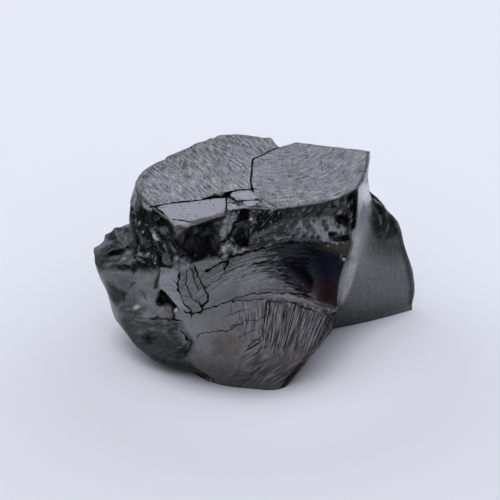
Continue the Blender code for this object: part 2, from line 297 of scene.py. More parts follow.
# fields of small flat splinters: size across, length to width, lean, slope of their faces, step
splinterFields = {
    "wallFine": (0.75, 3.0, 24, 0.22, 0.1),
    "crown": (2.2, 1.7, -40, 0.18, 0.12),
    "shelf": (2.6, 0.8, 10, 0.2, 0.15),
    "crownFine": (0.8, 2.2, -40, 0.26, 0.1),
    "backFine": (2.6, 1.6, 30, 0.16, 0.2),
    "heelFine": (1.2, 1.8, -20, 0.3, 0.2),
}

splinterLook = {
    "scatter": 0.25,  # of the seeds off the surface, in sizes
    "nearest": 7,  # seeds that a point is compared with
    "steepest": 3.0,  # no face rises by more than the size over this
    "bowl": 1.7,  # how fast a face falls away around its seed
    "floor": -0.3,
}

# hollows that the camera doesn't see square on: the middle, the reach along X, Y and Z, the depth
hollows = {
    "shelfDip": ((-21.0, -2.4, 17.6), (2.4, 2.4, 2.0), 1.1),
    "wallSwell": ((-18.2, -3.8, 25.2), (3.5, 5.5, 4.0), -0.3),
}

# pits on the seen sides: how wide the sloping edge is in frame pixels, how deep it goes, an outline
pits = {
    "underTheRim": (12, 1.5, ((176, 232), (188, 229), (200, 225), (214, 222), (222, 217), (222, 232),
        (218, 246), (217, 254), (205, 257), (192, 262), (182, 258), (178, 246))),
    "wallPit": (6, 0.6, ((234, 224), (243, 221), (250, 226), (249, 240), (243, 248), (234, 246),
        (231, 236))),
    "cornerPit": (4, 0.5, ((338, 219), (345, 217), (352, 219), (355, 223), (349, 225), (341, 223))),
    "cornerDip": (4, 0.6, ((332, 232), (340, 231), (346, 236), (344, 242), (336, 241))),
    "trianglePit": (4, 1, ((160, 290), (164, 293), (172, 303), (180, 311), (168, 308), (154, 307),
        (156, 299))),
}

# bites out of the plate's edge
rimChips = {
    "count": 90,
    "width": (0.3, 1.3),
    "depth": (0.04, 0.22),
    "reach": 0.22,  # how far down towards the neck, in rings
    # placed ones: where in the frame, width and depth
    "named": (
        (163, 158, 0.5, 0.3), (205, 143, 1.1, 0.4), (213, 140, 0.7, 0.45), (230, 134, 1.2, 0.2),
        (262, 137, 0.8, 0.3), (244, 209, 0.5, 0.3), (288, 209, 0.5, 0.3), (300, 206, 0.5, 0.25),
        (362, 170, 0.6, 0.3), (141, 200, 0.6, 0.3),
    ),
}

# the lands between furrows: width in pitches, strength, length and how sharply they end
lands = {
    "width": (0.5, 1.5),
    "strength": (0.35, 1.0),
    "length": (0.45, 1.2),
    "ending": 5.0,
}

# the relief of the seen fracture faces: heights and depths in mm, everything else in frame pixels
fracture = {
    "ribLine": (
        (168, 324), (175, 320), (190, 316), (203, 310), (215, 305), (235, 298), (250, 294), (265, 292.5),
        (290, 293), (300, 296), (320, 304), (333, 309), (341, 312),
    ),
    "ribHeight": 0.28,
    "ribLift": ((185, 262, 275), (0.25, 0.4, 1.0)),  # its share of that from left to right
    "ribReach": 8.0,  # each side of the line
    "arcMiddle": (280.0, 385.0),  # of the fine arcs
    "arcRegion": (
        (158, 292), (180, 272), (203, 271), (232, 255), (262, 247), (290, 241), (320, 250), (350, 257),
        (338, 308), (320, 302), (300, 294), (265, 291), (235, 296), (203, 308), (175, 318),
    ),
    "arcTop": (104.0, 122.0),  # how far from their middle they grow strong
    "arcLeast": 0.25,
    "arcCalm": (262, 282, 0.85),  # from left to right they fade by this share
    "arcHeight": 0.06,
    "arcPitch": 3.4,
    "arcBends": ((1.2, 7, 1), (0.8, 17, 0)),  # how far, how often to the radian and the phase
    "mirrorRegion": (
        (268, 248), (290, 240), (320, 250), (352, 256), (345, 300), (338, 309), (320, 302), (300, 294),
        (290, 285), (278, 274),
    ),
    "fanMiddle": (243.0, 505.0),  # that the hackles fan out from
    "fanScale": 200.0,  # pixels to the radian
    "fanTop": ((264, 283, 300, 320, 334), (301, 301, 304, 312, 318)),  # where they start, x and y
    "fanLength": 48.0,
    "fanRegion": (
        (264, 301), (283, 301), (300, 304), (320, 312), (334, 318), (330, 332), (322, 352), (300, 352),
        (280, 350), (262, 345),
    ),
    "fanHeight": 0.14,
    "fanPitch": 2.8,
    "combRegion": ((232, 303), (263, 300), (262, 340), (244, 342), (234, 330)),
    "combHeight": 0.1,
    "combPitch": 2.6,
    "waveRegion": (
        (232, 372), (240, 352), (262, 338), (300, 348), (318, 350), (300, 372), (280, 386), (240, 386),
    ),
    "waveSlope": 0.62,  # rise to the right of the ripples at the foot
    "waveBend": (2.5, 9),  # how far, and over how many pixels
    "waveHeight": 0.06,
    "wavePitch": 4.5,
    "footLine": (
        (172, 327), (180, 335), (189, 344), (187, 350), (183, 355), (185, 363), (190, 370), (209, 381),
    ),
    "footDepth": 0.35,
    "footReach": 3.0,
    "footEnd": 215,
}

plain = {
    "grey": 85.0,  # what the stone shows where no painted level is given, out of 255
    "gamma": 2.2,
}

crackLook = {
    "swell": (0.45, 1.5),  # how much a crack thins and widens along its way
    "thinnest": 0.02,
    "none": 50.0,  # widths away, where there is none
    "side": (2.2, 0.45),  # pixels between its bends and how far they go
    "plate": (0.4, 0.03),  # the same in mm
}

# cracks seen on the sides, in frame pixels, each with its width there in pixels
sideCracks = {
    "facetOne": ((179, 274, 2.2), (179, 279, 1.6), (178, 284, 2.2), (178, 290, 1.8), (181, 297, 1),
        (184, 303, 1), (188, 308, 1), (191, 311, 1.2), (192, 317, 1)),
    "facetTwo": ((186, 271, 1), (187, 276, 1), (186, 284, 0.9), (188, 290, 1.4), (191, 296, 1.4),
        (195, 300, 1.2), (199, 303, 1), (202, 307, 1.6)),
    "facetThree": ((190, 268, 1.2), (193, 273, 1), (195, 283, 0.8), (197, 289, 1.4), (199, 290, 0.8)),
    "facetFour": ((194, 266, 1.4), (197, 272, 1.6), (199, 277, 1.4), (202, 284, 1.8), (205, 289, 1.6),
        (208, 294, 1.6), (208, 299, 1.4), (206, 303, 1.4), (203, 306, 2.2), (201, 311, 1.6)),
    "ribLeft": ((200, 312, 1.6), (192, 314, 1.2), (186, 312, 1.2), (182, 308, 1)),
    "wavy": ((150, 320, 1.6), (155, 319, 3.6), (160, 320, 2.4), (166, 320, 3.4), (172, 320.5, 2.6),
        (180, 322, 1.4)),
    "wavyUp": ((172, 311, 1.6), (173, 320, 2.4)),
    "facetTop": ((155, 264, 2), (163, 267, 1.4), (170, 269, 2), (172, 266, 1.2)),
    "rib": ((201, 311, 1.4), (212, 307, 1.2), (222, 304, 1), (235, 298.5, 0.8), (250, 294, 0.8),
        (265, 292.5, 1), (290, 293, 1), (300, 296, 0.8), (320, 304, 0.6), (333, 309, 0.6)),
    "thread": ((197, 338, 1.4), (200, 334, 1), (205, 333, 0.9), (212, 331.5, 0.8), (222, 331, 0.8),
        (230, 330, 0.7), (236, 326, 0.7), (243, 322, 0.6)),
    "foot": ((178, 333, 0.8), (189, 345, 1.6), (187, 350, 1.4), (183, 356, 1)),
    "wallSplit": ((228, 239, 1.6), (232, 233, 1.2), (237, 225, 1), (240, 218, 0.8)),
    "wallSplitTwo": ((236, 249, 1), (231, 241, 1.4), (221, 244, 1.6), (218, 250, 1)),
    "pebble": ((230, 213, 0.7), (234, 211, 0.7), (237, 213.5, 0.7), (236, 216.5, 0.7), (231, 217, 0.7)),
    "lipLine": ((177, 227, 1.4), (184, 224.5, 1.2), (192, 223, 1.2), (199, 220, 1.4), (206, 219, 1)),
    "bevelLine": ((140, 199, 1.2), (145, 202, 1.2), (153, 206, 1.6), (153, 213, 1.2)),
    "dropTwo": ((227, 263, 1.6), (230, 257, 1.8), (231, 253, 1)),
    "arcOne": ((206, 272, 1.4), (215, 266, 1.6), (224, 262, 1.2), (232, 257, 1.4), (241, 254, 2),
        (256, 250, 1.8), (270, 247, 1.2)),
    "arcTwo": ((248, 266, 1), (258, 263, 1.6), (266, 261.5, 1.8), (275, 261, 1.2), (281, 262, 0.6)),
    "arcThree": ((206, 287, 0.6), (215, 281, 0.7), (224, 274, 0.8), (231, 270, 0.6), (243, 266, 0.5)),
    "arcFour": ((242, 278, 0.6), (249, 274, 0.7), (256, 271, 0.6)),
    "dropOne": ((229, 262, 1.4), (225, 268, 1.8), (224, 272, 1)),
    "ripple": ((243, 355, 0.6), (250, 348, 1.1), (257, 344, 1.1), (262, 341, 0.6)),
    "rippleTwo": ((246, 347, 0.5), (253, 341, 0.8), (260, 338, 0.5)),
    "rippleThree": ((254, 354, 0.4), (261, 349, 0.8), (268, 346, 0.5)),
    "hackleSide": ((267, 301, 1.3), (266.5, 310, 0.9), (265, 320, 0.6), (263, 330, 0.9), (262, 339, 0.6)),
    "hackleTop": ((268, 301, 1.3), (276, 301.5, 0.8), (282, 302.5, 0.5)),
    "hackleTopTwo": ((285, 301.5, 1), (291, 302.5, 1.4), (298, 304.5, 0.7)),
    "hackleTopThree": ((301, 306, 1), (307, 308, 1.3), (313, 311, 0.8), (319, 312, 0.6)),
    "leftDash": ((128, 288, 1), (131, 284, 1.8), (134, 283, 1)),
    "leftDashTwo": ((139, 291, 0.7), (143, 295, 1.2), (145, 300, 0.7)),
    "leftDashThree": ((117, 268, 1.4), (122, 266, 1.8), (127, 267, 1)),
    "foldOne": ((222, 304, 0.5), (236, 301, 0.6), (250, 300, 0.6), (264, 299, 0.5)),
    "foldTwo": ((226, 316, 0.4), (240, 311, 0.6), (252, 309, 0.4)),
    "foldThree": ((232, 326, 0.5), (244, 321, 0.6), (256, 320, 0.5), (264, 318, 0.4)),
    "foldFour": ((240, 337, 0.4), (252, 331, 0.6), (262, 330, 0.5)),
}

# how light a broken face shows, its own gloss with painted shade and highlight, from glassy and black to
# silvery, out of 255 under the studio light
lustreAndShadeLevels = {
    "jet": 14, "black": 24, "dark": 36, "dim": 50, "dull": 64, "low": 75, "satin": 86, "pale": 98,
    "bright": 114, "silver": 125, "light": 148, "spark": 190,
}

# painted shade, shadow, reflections and highlights together with the stone's own gloss on the seen faces: how
# light, how soft the edge is and an outline in frame pixels; a later one covers an earlier one
lustreAndShadeZones = {
    "heelMid": ("low", 10, ((352, 258), (364, 236), (400, 236), (416, 290), (400, 302), (345, 306))),
    "heelFoot": ("dull", 9, ((333, 312), (418, 292), (414, 312), (372, 326), (334, 332))),
    "heelTop": ("dull", 7, ((366, 200), (376, 196), (390, 210), (401, 226), (406, 242), (384, 246),
        (370, 238), (366, 220))),
    "heelUpper": ("dim", 10, ((366, 230), (402, 236), (408, 256), (388, 258), (364, 250))),
    # painted dark reflection and shade on the heel's top and rim
    "heelDark": ("black", 5, ((369, 210), (378, 206), (387, 208), (393, 221), (392, 236), (384, 240),
        (376, 234), (370, 222))),
    "heelRim": ("black", 1.5, ((370, 193), (378, 199), (388, 211), (395, 222), (401, 238), (398, 238),
        (392, 226), (384, 214), (376, 206))),
    "heelEdge": ("dark", 2, ((398, 230), (408, 256), (412, 272), (414, 288), (413, 304), (409, 304),
        (410, 286), (405, 262), (399, 242))),
    "heelSpot": ("black", 2, ((369, 196), (374, 197), (378, 205), (374, 208), (370, 203))),
    # painted highlight: the bright sliver along the right edge, brightest at its top
    "sliver": ("light", 1.5, ((357, 186), (369, 184), (374, 198), (366, 210), (363, 226), (362, 244),
        (358, 262), (352, 284), (345, 300), (338, 309), (337, 296), (339, 284), (345, 263), (352, 246),
        (357, 222), (358, 205))),
    "sliverTop": ("spark", 3, ((363, 184), (368, 184), (371, 196), (367, 203), (363, 198))),
    "sliverMid": ("satin", 4, ((363, 206), (371, 206), (370, 222), (360, 262), (356, 262), (361, 236))),
    # painted shade along the lower left edge, next to the floor
    "leftEdge": ("black", 2.5, ((122, 318), (128, 322), (138, 336), (152, 348), (172, 360), (190, 368),
        (209, 379), (206, 386), (168, 372), (140, 352), (122, 328))),
    "frontBlue": ("pale", 6, ((172, 318), (190, 314), (206, 322), (206, 334), (192, 338), (178, 330))),
    "frontFoot": ("dull", 8, ((188, 352), (240, 362), (300, 345), (322, 345), (283, 390), (200, 386))),
    "arcLit": ("pale", 4, ((206, 285), (232, 268), (250, 252), (266, 249), (268, 262), (250, 275),
        (210, 300))),
    "arcsLow": ("bright", 6, ((244, 272), (270, 270), (288, 278), (304, 292), (300, 295), (262, 290),
        (240, 292))),
    "wallTop": ("dim", 1.2, ((226, 214), (241, 208), (256, 206), (276, 210), (290, 207), (310, 204),
        (325, 200), (340, 198), (358, 189), (357, 226), (350, 228), (340, 224), (336, 218), (318, 221),
        (300, 221), (285, 224), (262, 238), (250, 240), (238, 240), (226, 246), (219, 242), (221, 222))),
    "wallMiddle": ("satin", 2, ((262, 246), (246, 250), (226, 253), (234, 248), (248, 246), (250, 238),
        (262, 230), (282, 221), (320, 220), (336, 218), (350, 232), (350, 242), (290, 242))),
    "wallLit": ("pale", 2, ((284, 228), (300, 222), (328, 219), (336, 221), (347, 231), (334, 232),
        (333, 238), (327, 241), (292, 239))),
    "slantOne": ("dull", 0.8, ((308, 219), (321, 204), (328, 200), (329, 203), (318, 217), (312, 220))),
    "slantTwo": ("dull", 0.8, ((331, 203), (335, 202), (334, 209), (330, 214), (328, 213))),
    "slantThree": ("dull", 0.8, ((293, 208), (297, 208), (296, 218), (291, 221), (289, 218))),
    "slantFour": ("low", 0.8, ((302, 211), (307, 207), (306, 212), (302, 218), (299, 219))),
    "cornerLit": ("dull", 1.2, ((338, 207), (346, 203), (350, 206), (349, 214), (340, 215), (337, 212))),
    "edgeBlack": ("jet", 0.8, ((350, 193), (358, 188), (357.5, 214), (356, 228), (353, 230), (354, 214))),
    "wallBlack": ("jet", 1, ((240, 209), (250, 209), (251, 219), (246, 223), (239, 221))),
    "wallPit": ("dim", 1.2, ((237, 224), (243, 221), (249, 224), (249, 240), (247, 247), (240, 247),
        (234, 245))),
    "wallPitFoot": ("black", 1.2, ((236, 241), (242, 240), (248, 238), (248, 247), (240, 247),
        (235, 245))),
    "wallFace": ("bright", 1, ((226, 213), (231, 212), (227, 240), (221, 243), (220, 236), (223, 227))),
    "wallFaceTwo": ("bright", 1, ((231, 216), (237, 216), (236, 222), (231, 232), (228, 236),
        (229, 226))),
    "pebble": ("pale", 0.7, ((231, 213), (234, 212), (236.5, 213.5), (235, 216), (231.5, 216))),
    "wallHeel": ("dim", 2, ((214, 250), (234, 250), (240, 256), (226, 260), (214, 258))),
    "shardLow": ("pale", 1, ((219, 254), (220, 248), (225, 243), (228, 242), (227, 250), (224, 254))),
    "cornerPit": ("black", 1.2, ((337, 219), (342, 216), (349, 217), (353, 220), (353, 225), (349, 226),
        (344, 223), (339, 222))),
    "cornerDip": ("black", 1, ((333, 231), (339, 232), (341, 236), (346, 234), (351, 233), (352, 239),
        (347, 242), (337, 243), (331, 240))),
    "olive": ("dark", 1.5, ((272, 244), (290, 241), (330, 242), (346, 241), (353, 242), (352, 250),
        (349, 257), (338, 253), (322, 249), (306, 246))),
    # painted dark reflection on the smooth patch and its parts
    "patch": ("dark", 1.2, ((271, 246), (283, 244), (300, 245), (322, 249), (338, 253), (350, 258),
        (344, 265), (339, 281), (337, 296), (338, 308), (322, 302), (304, 297), (296, 288), (290, 278),
        (274, 258))),
    "patchCore": ("satin", 4, ((276, 262), (288, 266), (300, 276), (311, 288), (314, 297), (300, 291),
        (280, 270))),
    "patchRight": ("jet", 6, ((306, 246), (338, 253), (350, 258), (344, 265), (339, 281), (337, 296),
        (338, 308), (322, 302), (320, 280))),
    "patchEdge": ("dull", 2.5, ((262, 250), (270, 246), (272, 262), (278, 274), (292, 286), (284, 284),
        (268, 274), (262, 262))),
    # painted shade in the hollow under the rim, with a painted highlight on its upper lip
    "scoopLeft": ("black", 1.5, ((171, 232), (182, 232), (184, 240), (181, 253), (174, 250), (170, 240))),
    "scoop": ("dim", 2, ((174, 236), (192, 226), (202, 226), (213, 222), (219, 222), (221, 232),
        (218, 253), (197, 261), (187, 263), (180, 256))),
    "scoopLow": ("dark", 3, ((182, 244), (196, 244), (212, 246), (214, 254), (200, 257), (190, 262),
        (183, 258))),
    "scoopLit": ("satin", 3, ((175, 228), (198, 223), (199, 230), (192, 235), (183, 239), (176, 236))),
    "scoopBlack": ("black", 2.5, ((182, 238), (196, 234), (206, 227), (214, 224), (220, 228), (220, 240),
        (213, 245), (200, 240), (190, 243), (184, 243))),
    "slabUnder": ("dark", 1, ((198, 222), (206, 219), (218, 217), (224, 214), (224, 219), (214, 224),
        (204, 226), (198, 226))),
    "crown": ("black", 1, ((130, 180), (142, 196), (174, 226), (173, 236), (181, 250), (190, 258),
        (186, 261), (172, 263), (157, 269), (140, 262), (130, 256), (127, 242), (131, 230))),
    "crownStrip": ("dim", 1.2, ((133, 199), (137, 198), (139, 208), (138, 217), (134, 214))),
    "crownBevel": ("pale", 0.6, ((139.5, 200), (144, 203), (152.5, 207), (152.5, 212.5), (147, 212),
        (142.5, 208))),
    "crownHeart": ("dark", 1.5, ((141, 212), (152, 215), (158, 220), (154, 225), (145, 224), (141, 218))),
    "crownGrey": ("dim", 1, ((157, 226), (168, 227), (171, 236), (170, 242), (163, 240), (158, 234))),
    "crownLeaf": ("silver", 0.6, ((148.5, 229.5), (151, 230.5), (156, 237), (159.5, 243.5), (156, 242),
        (152, 237))),
    "crownLine": ("dull", 0.8, ((152, 241), (155, 241), (163, 255), (166, 263), (162, 261), (157, 252))),
    "crownFlake": ("pale", 0.8, ((133, 250.5), (139, 252), (146, 257.5), (141, 258), (136, 255))),
    "crownSide": ("low", 0.8, ((131, 250), (132, 243), (135, 240), (134, 248))),
    "crownCrumb": ("dim", 1.2, ((160, 244), (172, 246), (176, 252), (168, 256), (160, 252))),
    "blockOne": ("pale", 0.8, ((160, 257), (166, 254), (170, 261), (170, 267), (163, 266), (160, 262))),
    "blockTwo": ("pale", 0.8, ((173, 258), (178, 256), (178, 267), (174, 269), (172, 264))),
    "blockThree": ("pale", 0.8, ((180, 258), (184, 257), (190, 260), (189, 268), (181, 271), (179, 264))),
    "leafTwo": ("low", 0.7, ((179.5, 240), (182, 241), (182, 248), (179, 247))),
    "band": ("black", 1.5, ((130, 263), (140, 260), (155, 262), (160, 266), (158, 270), (146, 271),
        (138, 269), (131, 271))),
    "shelfPeak": ("black", 1.5, ((104, 238), (110, 227), (126, 226), (128, 231), (122, 235), (112, 240))),
    "shelfBand": ("dull", 2, ((98, 248), (106, 241), (116, 238), (124, 233), (129, 232), (131, 238),
        (127, 241), (118, 243), (108, 247), (101, 251))),
    "shelfSpot": ("pale", 1, ((116, 232), (120, 232), (120, 235), (116, 235))),
    "shelfHollow": ("jet", 1.2, ((98, 253), (105, 249), (112, 247.5), (119, 245), (124, 242), (126, 245),
        (123, 248), (129, 249), (120, 252), (99, 256))),
    "shelfLip": ("dull", 2, ((92, 262), (106, 255), (130, 250), (132, 256), (130, 263), (118, 264),
        (104, 262))),
    "shelfLump": ("dim", 3, ((92, 264), (104, 259), (116, 262), (118, 268), (108, 272), (96, 272))),
    "shelfTip": ("dark", 3, ((90, 256), (97, 248), (104, 246), (103, 262), (98, 272), (92, 266))),
    "facetRight": ("satin", 5, ((167, 262), (178, 267), (184, 300), (178, 305), (168, 290))),
    "blotchTwo": ("black", 1.5, ((129, 266), (134, 262), (140, 263), (145, 262), (146, 268), (137, 270),
        (131, 273), (128, 272))),
    "leftUpper": ("low", 3, ((98, 272), (128, 273), (156, 271), (157, 292), (130, 292), (108, 286))),
    "leftLower": ("dull", 4, ((108, 290), (157, 292), (150, 319), (126, 322), (114, 306))),
    "leftShadow": ("jet", 2.5, ((104, 284), (111, 286), (124, 294), (123, 301), (115, 305), (108, 300))),
    # painted shade under the shelf
    "shelfUnder": ("black", 1, ((114, 266), (120, 264), (127, 265), (128, 270), (121, 273), (115, 271))),
    "shelfUnderTwo": ("jet", 1, ((129, 262), (138, 261), (146, 264), (146, 268), (140, 271), (134, 270),
        (131, 275), (128, 271))),
    "shelfUnderThree": ("black", 1, ((146, 263), (158, 264), (172, 267), (171, 270), (158, 269),
        (147, 269))),
    "shelfGrey": ("satin", 2, ((116, 232), (125, 227), (131, 233), (130, 243), (119, 243))),
    "wallLip": ("black", 1, ((249, 206), (262, 205), (263, 211), (250, 212))),
    "leftSmear": ("dim", 3, ((128, 302), (134, 296), (142, 300), (150, 312), (144, 322), (132, 320))),
    "leftMark": ("dim", 1, ((129, 288), (131, 284), (134, 284), (132, 289))),
    "leftLight": ("spark", 1.8, ((132, 308), (136, 306), (138, 308), (136, 310), (132, 311))),
    "leftFaint": ("bright", 3, ((140, 313), (148, 312), (150, 317), (143, 318))),
    "facet": ("bright", 1, ((157.5, 269), (171, 270), (177, 273), (178, 290), (182, 301), (187, 309),
        (178, 311), (172, 303), (160, 289))),
    "facetEdge": ("black", 1, ((154, 281), (156, 270), (158, 271), (157.5, 288), (154, 289))),
    "triangle": ("jet", 0.8, ((160, 291.5), (168, 298), (172, 303), (177, 311), (173, 310), (168, 307),
        (162, 305), (155, 306.5), (154, 302))),
    "flake": ("low", 1.5, ((151, 308), (158, 307), (168, 308), (172, 311), (174, 318), (165, 320),
        (157, 319), (151, 314))),
    "lowerLeft": ("dim", 4, ((118, 322), (150, 321), (180, 323), (190, 345), (184, 360), (190, 374),
        (175, 378), (150, 362), (130, 344))),
    "lowerCorner": ("satin", 3, ((176, 330), (184, 333), (188, 341), (182, 344), (176, 338))),
    "smear": ("dull", 5, ((214, 338), (230, 333), (243, 342), (241, 357), (226, 362), (213, 354))),
    "lowerSpot": ("black", 3, ((142, 334), (150, 333), (153, 340), (148, 346), (142, 342))),
    "lowerBlack": ("dark", 2.5, ((176, 352), (184, 349), (187, 352), (184, 358), (177, 362), (170, 358))),
    # painted shade along the lower and right edges of the front
    "lowerEdge": ("dark", 3, ((150, 356), (190, 369), (208, 377), (210, 386), (180, 382), (150, 368))),
    "rightEdge": ("jet", 1.5, ((326, 318), (330, 314), (330, 326), (326, 340), (320, 351), (298, 372),
        (286, 390), (280, 388), (292, 372), (316, 344), (322, 330))),
    "bottomEdge": ("dull", 1.2, ((208, 383), (240, 387), (270, 389), (284, 388), (284, 391), (240, 391),
        (206, 387))),
    "edgeStrip": ("dark", 1.2, ((330, 313), (337, 309), (332, 322), (330, 332), (322, 346), (324, 336),
        (328, 326))),
    "edgeEnd": ("black", 2, ((323, 310), (334, 312), (334, 322), (326, 322))),
    "scoopSheen": ("bright", 3, ((178, 228), (202, 225), (198, 232), (188, 236), (178, 234))),
    "plateEnd": ("black", 0.8, ((366, 152), (369, 152), (368.5, 166), (366, 178), (360, 186), (357, 189),
        (356, 186), (362, 178), (365.5, 166))),
    "leftSoft": ("dull", 4, ((118, 276), (132, 278), (128, 290), (118, 288))),
    "leftSoftTwo": ("pale", 4, ((136, 298), (150, 296), (152, 308), (138, 306))),
    "plateBack": ("low", 12, ((150, 168), (180, 145), (214, 136), (262, 132), (278, 142), (250, 158),
        (200, 172))),
    "plateMiddle": ("pale", 12, ((232, 156), (258, 152), (260, 182), (232, 184))),
    "plateLeft": ("pale", 10, ((150, 190), (190, 176), (220, 180), (215, 192), (160, 202))),
    "plateRim": ("dull", 1.5, ((138, 190), (142, 176), (152, 166), (170, 154), (205, 141), (206, 144),
        (172, 158), (156, 169), (146, 180), (142, 192))),
    "slab": ("silver", 1, ((153, 206.5), (203, 200), (218, 197), (228, 199), (227, 211), (220, 217),
        (214, 220), (204, 220), (195, 223), (181, 225), (174, 227), (165, 217))),
    "slabFoot": ("dim", 1, ((190, 222), (198, 218.5), (210, 216.5), (222, 213), (226, 211), (226, 215),
        (214, 220), (190, 225))),
    "fragmentOne": ("silver", 1, ((230, 193), (240, 191), (252, 190), (255, 199), (243, 199.5),
        (232, 198))),
    "fragmentTwo": ("silver", 0.7, ((227.5, 201), (235, 201), (239, 205), (236, 209), (228, 211))),
    "fragmentThree": ("silver", 0.7, ((241, 202.5), (250, 200.5), (258, 201), (254, 205), (248, 208),
        (243, 205.5))),
    "stain": ("dull", 2, ((226, 134), (234, 136), (248, 148), (243, 149), (226, 138))),
    "spall": ("low", 1, ((208, 195), (214, 193), (222, 192), (224, 194), (216, 196))),
    "gap": ("jet", 0.5, ((219, 197), (226, 191.5), (230, 193), (229, 198), (222, 198))),
    "wedge": ("jet", 0.7, ((236, 200.5), (243, 200.5), (240, 204), (239, 207), (234, 203))),
    "rightSpot": ("dull", 1, ((357, 166), (361, 165), (363, 168), (361, 172), (358, 171))),
}

# the calmer half of the plate's right part, and its share of the slab's smoothness
calmHalf = (
    (254, 188), (251, 160), (274, 147), (296, 142), (366, 152), (367, 170), (357, 188), (300, 200),
    (262, 204),
)
calmShare = 0.4
slabPieces = ("slab", "fragmentOne", "fragmentTwo", "fragmentThree")  # smoother than the rest of the plate

# zones of painted shade whose edge is drawn out along the streaks, and how far in pixels
feathered = {"patch": 11.0, "patchEdge": 9.0}
featherPitch = 1.6

# colour added to the shade: red, green and blue, how soft the edge is and an outline
tints = {
    "oliveBand": ((0.014, 0.013, 0.002), 2, ((318, 243), (346, 241), (353, 243), (350, 256), (322, 247))),
    "patchRed": ((0.009, 0.001, 0.002), 6, ((296, 284), (338, 278), (338, 308), (302, 297), (290, 288))),
    "patchViolet": ((0.003, 0.003, 0.01), 6, ((272, 246), (300, 246), (344, 258), (338, 282), (294, 282),
        (276, 272))),
    # painted reflection of the floor on the band just below the rib
    "paleBandReflection": ((0.035, 0.024, 0.024), 2, ((262, 293), (280, 293), (300, 297), (336, 310), (330, 311),
        (306, 303), (284, 299))),
    "pink": ((0.035, 0.018, 0.022), 3, ((240, 305), (256, 305), (257, 312), (241, 313))),
    "brown": ((0.035, 0.022, 0.01), 5, ((220, 338), (230, 334), (244, 340), (246, 356), (236, 362),
        (222, 356))),
    "frontWarm": ((0.005, 0.001, 0.002), 8, ((206, 312), (264, 298), (330, 320), (322, 345), (284, 388),
        (206, 384), (190, 350))),
    "footBrown": ((0.016, 0.01, 0.003), 3, ((182, 371), (195, 371), (208, 377), (210, 384), (195, 382),
        (186, 378))),
    "flake": ((0.02, 0.014, 0.012), 3, ((151, 308), (158, 307), (168, 308), (172, 311), (174, 318),
        (165, 320), (152, 315))),
    "scoopBrown": ((0.012, 0.003, 0.002), 2, ((198, 221), (206, 218), (222, 214), (224, 218), (213, 224),
        (201, 226))),
    "scoopBlue": ((0.0, 0.0, 0.006), 3, ((182, 238), (206, 227), (220, 228), (218, 246), (190, 246))),
    "shelfGreen": ((0.006, 0.012, 0.004), 3, ((96, 258), (110, 254), (128, 251), (131, 256), (128, 262),
        (104, 262))),
    "rightFoot": ((0.022, 0.01, 0.008), 4, ((285, 352), (318, 346), (310, 357), (296, 362), (284, 360))),
}

# crumbly ground: how strong and where; it roughens the faces and brings painted highlights on shards and
# specks
crumbs = {
    "crown": (0.7, ((131, 205), (163, 218), (174, 228), (173, 236), (181, 250), (190, 258), (190, 266),
        (157, 269), (140, 266), (128, 258), (127, 242), (131, 226))),
    "wallLeft": (0.9, ((248, 208), (258, 207), (276, 210), (284, 209), (284, 222), (270, 230), (250, 238),
        (250, 222))),
    "shards": (0.8, ((221, 241), (229, 238), (236, 246), (248, 249), (226, 260), (216, 260), (217, 250))),
    "wallRight": (0.6, ((286, 208), (340, 199), (357, 192), (356, 226), (336, 216), (286, 222))),
    "corner": (0.8, ((331, 238), (352, 234), (354, 243), (336, 245))),
    "cornerLow": (0.6, ((340, 254), (351, 254), (346, 263), (338, 262))),
    "band": (0.5, ((128, 256), (158, 262), (158, 272), (128, 273))),
    "shelf": (0.2, ((96, 252), (130, 250), (130, 270), (98, 270))),
    "shelfTop": (0.6, ((98, 252), (102, 238), (110, 226), (131, 218), (131, 250))),
    "heelTop": (0.4, ((366, 196), (374, 192), (396, 216), (400, 238), (378, 240), (368, 220))),
    "scoop": (0.25, ((168, 230), (219, 222), (220, 256), (190, 262), (172, 254))),
    "seamRight": (0.6, ((264, 299), (300, 300), (338, 309), (336, 316), (300, 306), (264, 304))),
    "leftLow": (0.3, ((112, 300), (150, 312), (182, 332), (188, 362), (160, 352), (130, 330))),
    "footEdge": (0.12, ((130, 322), (182, 324), (190, 345), (184, 360), (170, 362), (140, 345))),
}

# painted glints, small bright points, by how light they are: x, y and radius in pixels
glints = {
    "spark": ((231, 211, 1), (239, 213, 1), (251, 221, 1.2), (272, 211, 1.1), (137, 220, 1),
        (140.5, 223, 1), (143, 232.5, 0.9), (152, 263, 1), (175.5, 310.5, 1.3), (337, 308.5, 0.9),
        (175, 225, 0.9)),
    "light": ((265, 213, 1.2), (254, 212, 0.9), (271, 223, 1), (145, 255, 1), (123, 258, 1),
        (193, 257, 0.9), (208, 256.5, 0.9), (227, 242, 1), (232, 241, 1.1), (243, 249.5, 1),
        (246.5, 250, 0.9)),
    "bright": ((260, 213, 0.9), (273, 219, 0.8), (133, 229.5, 1), (136, 231, 1), (226, 246, 0.9),
        (229, 262, 0.8), (239, 251.5, 1.8), (236, 250.5, 1.4), (344, 259, 1.5), (334, 242, 0.9),
        (341, 241, 0.8), (345, 241.5, 0.9), (353, 217, 0.9), (354, 221, 0.9), (328, 246, 0.9),
        (155, 228, 0.9), (165, 252, 0.9)),
    "satin": ((341, 256, 0.9), (146, 226, 0.8), (169, 246, 0.8), (176, 249, 0.8), (149, 257, 1.2),
        (162, 248, 0.8)),
}

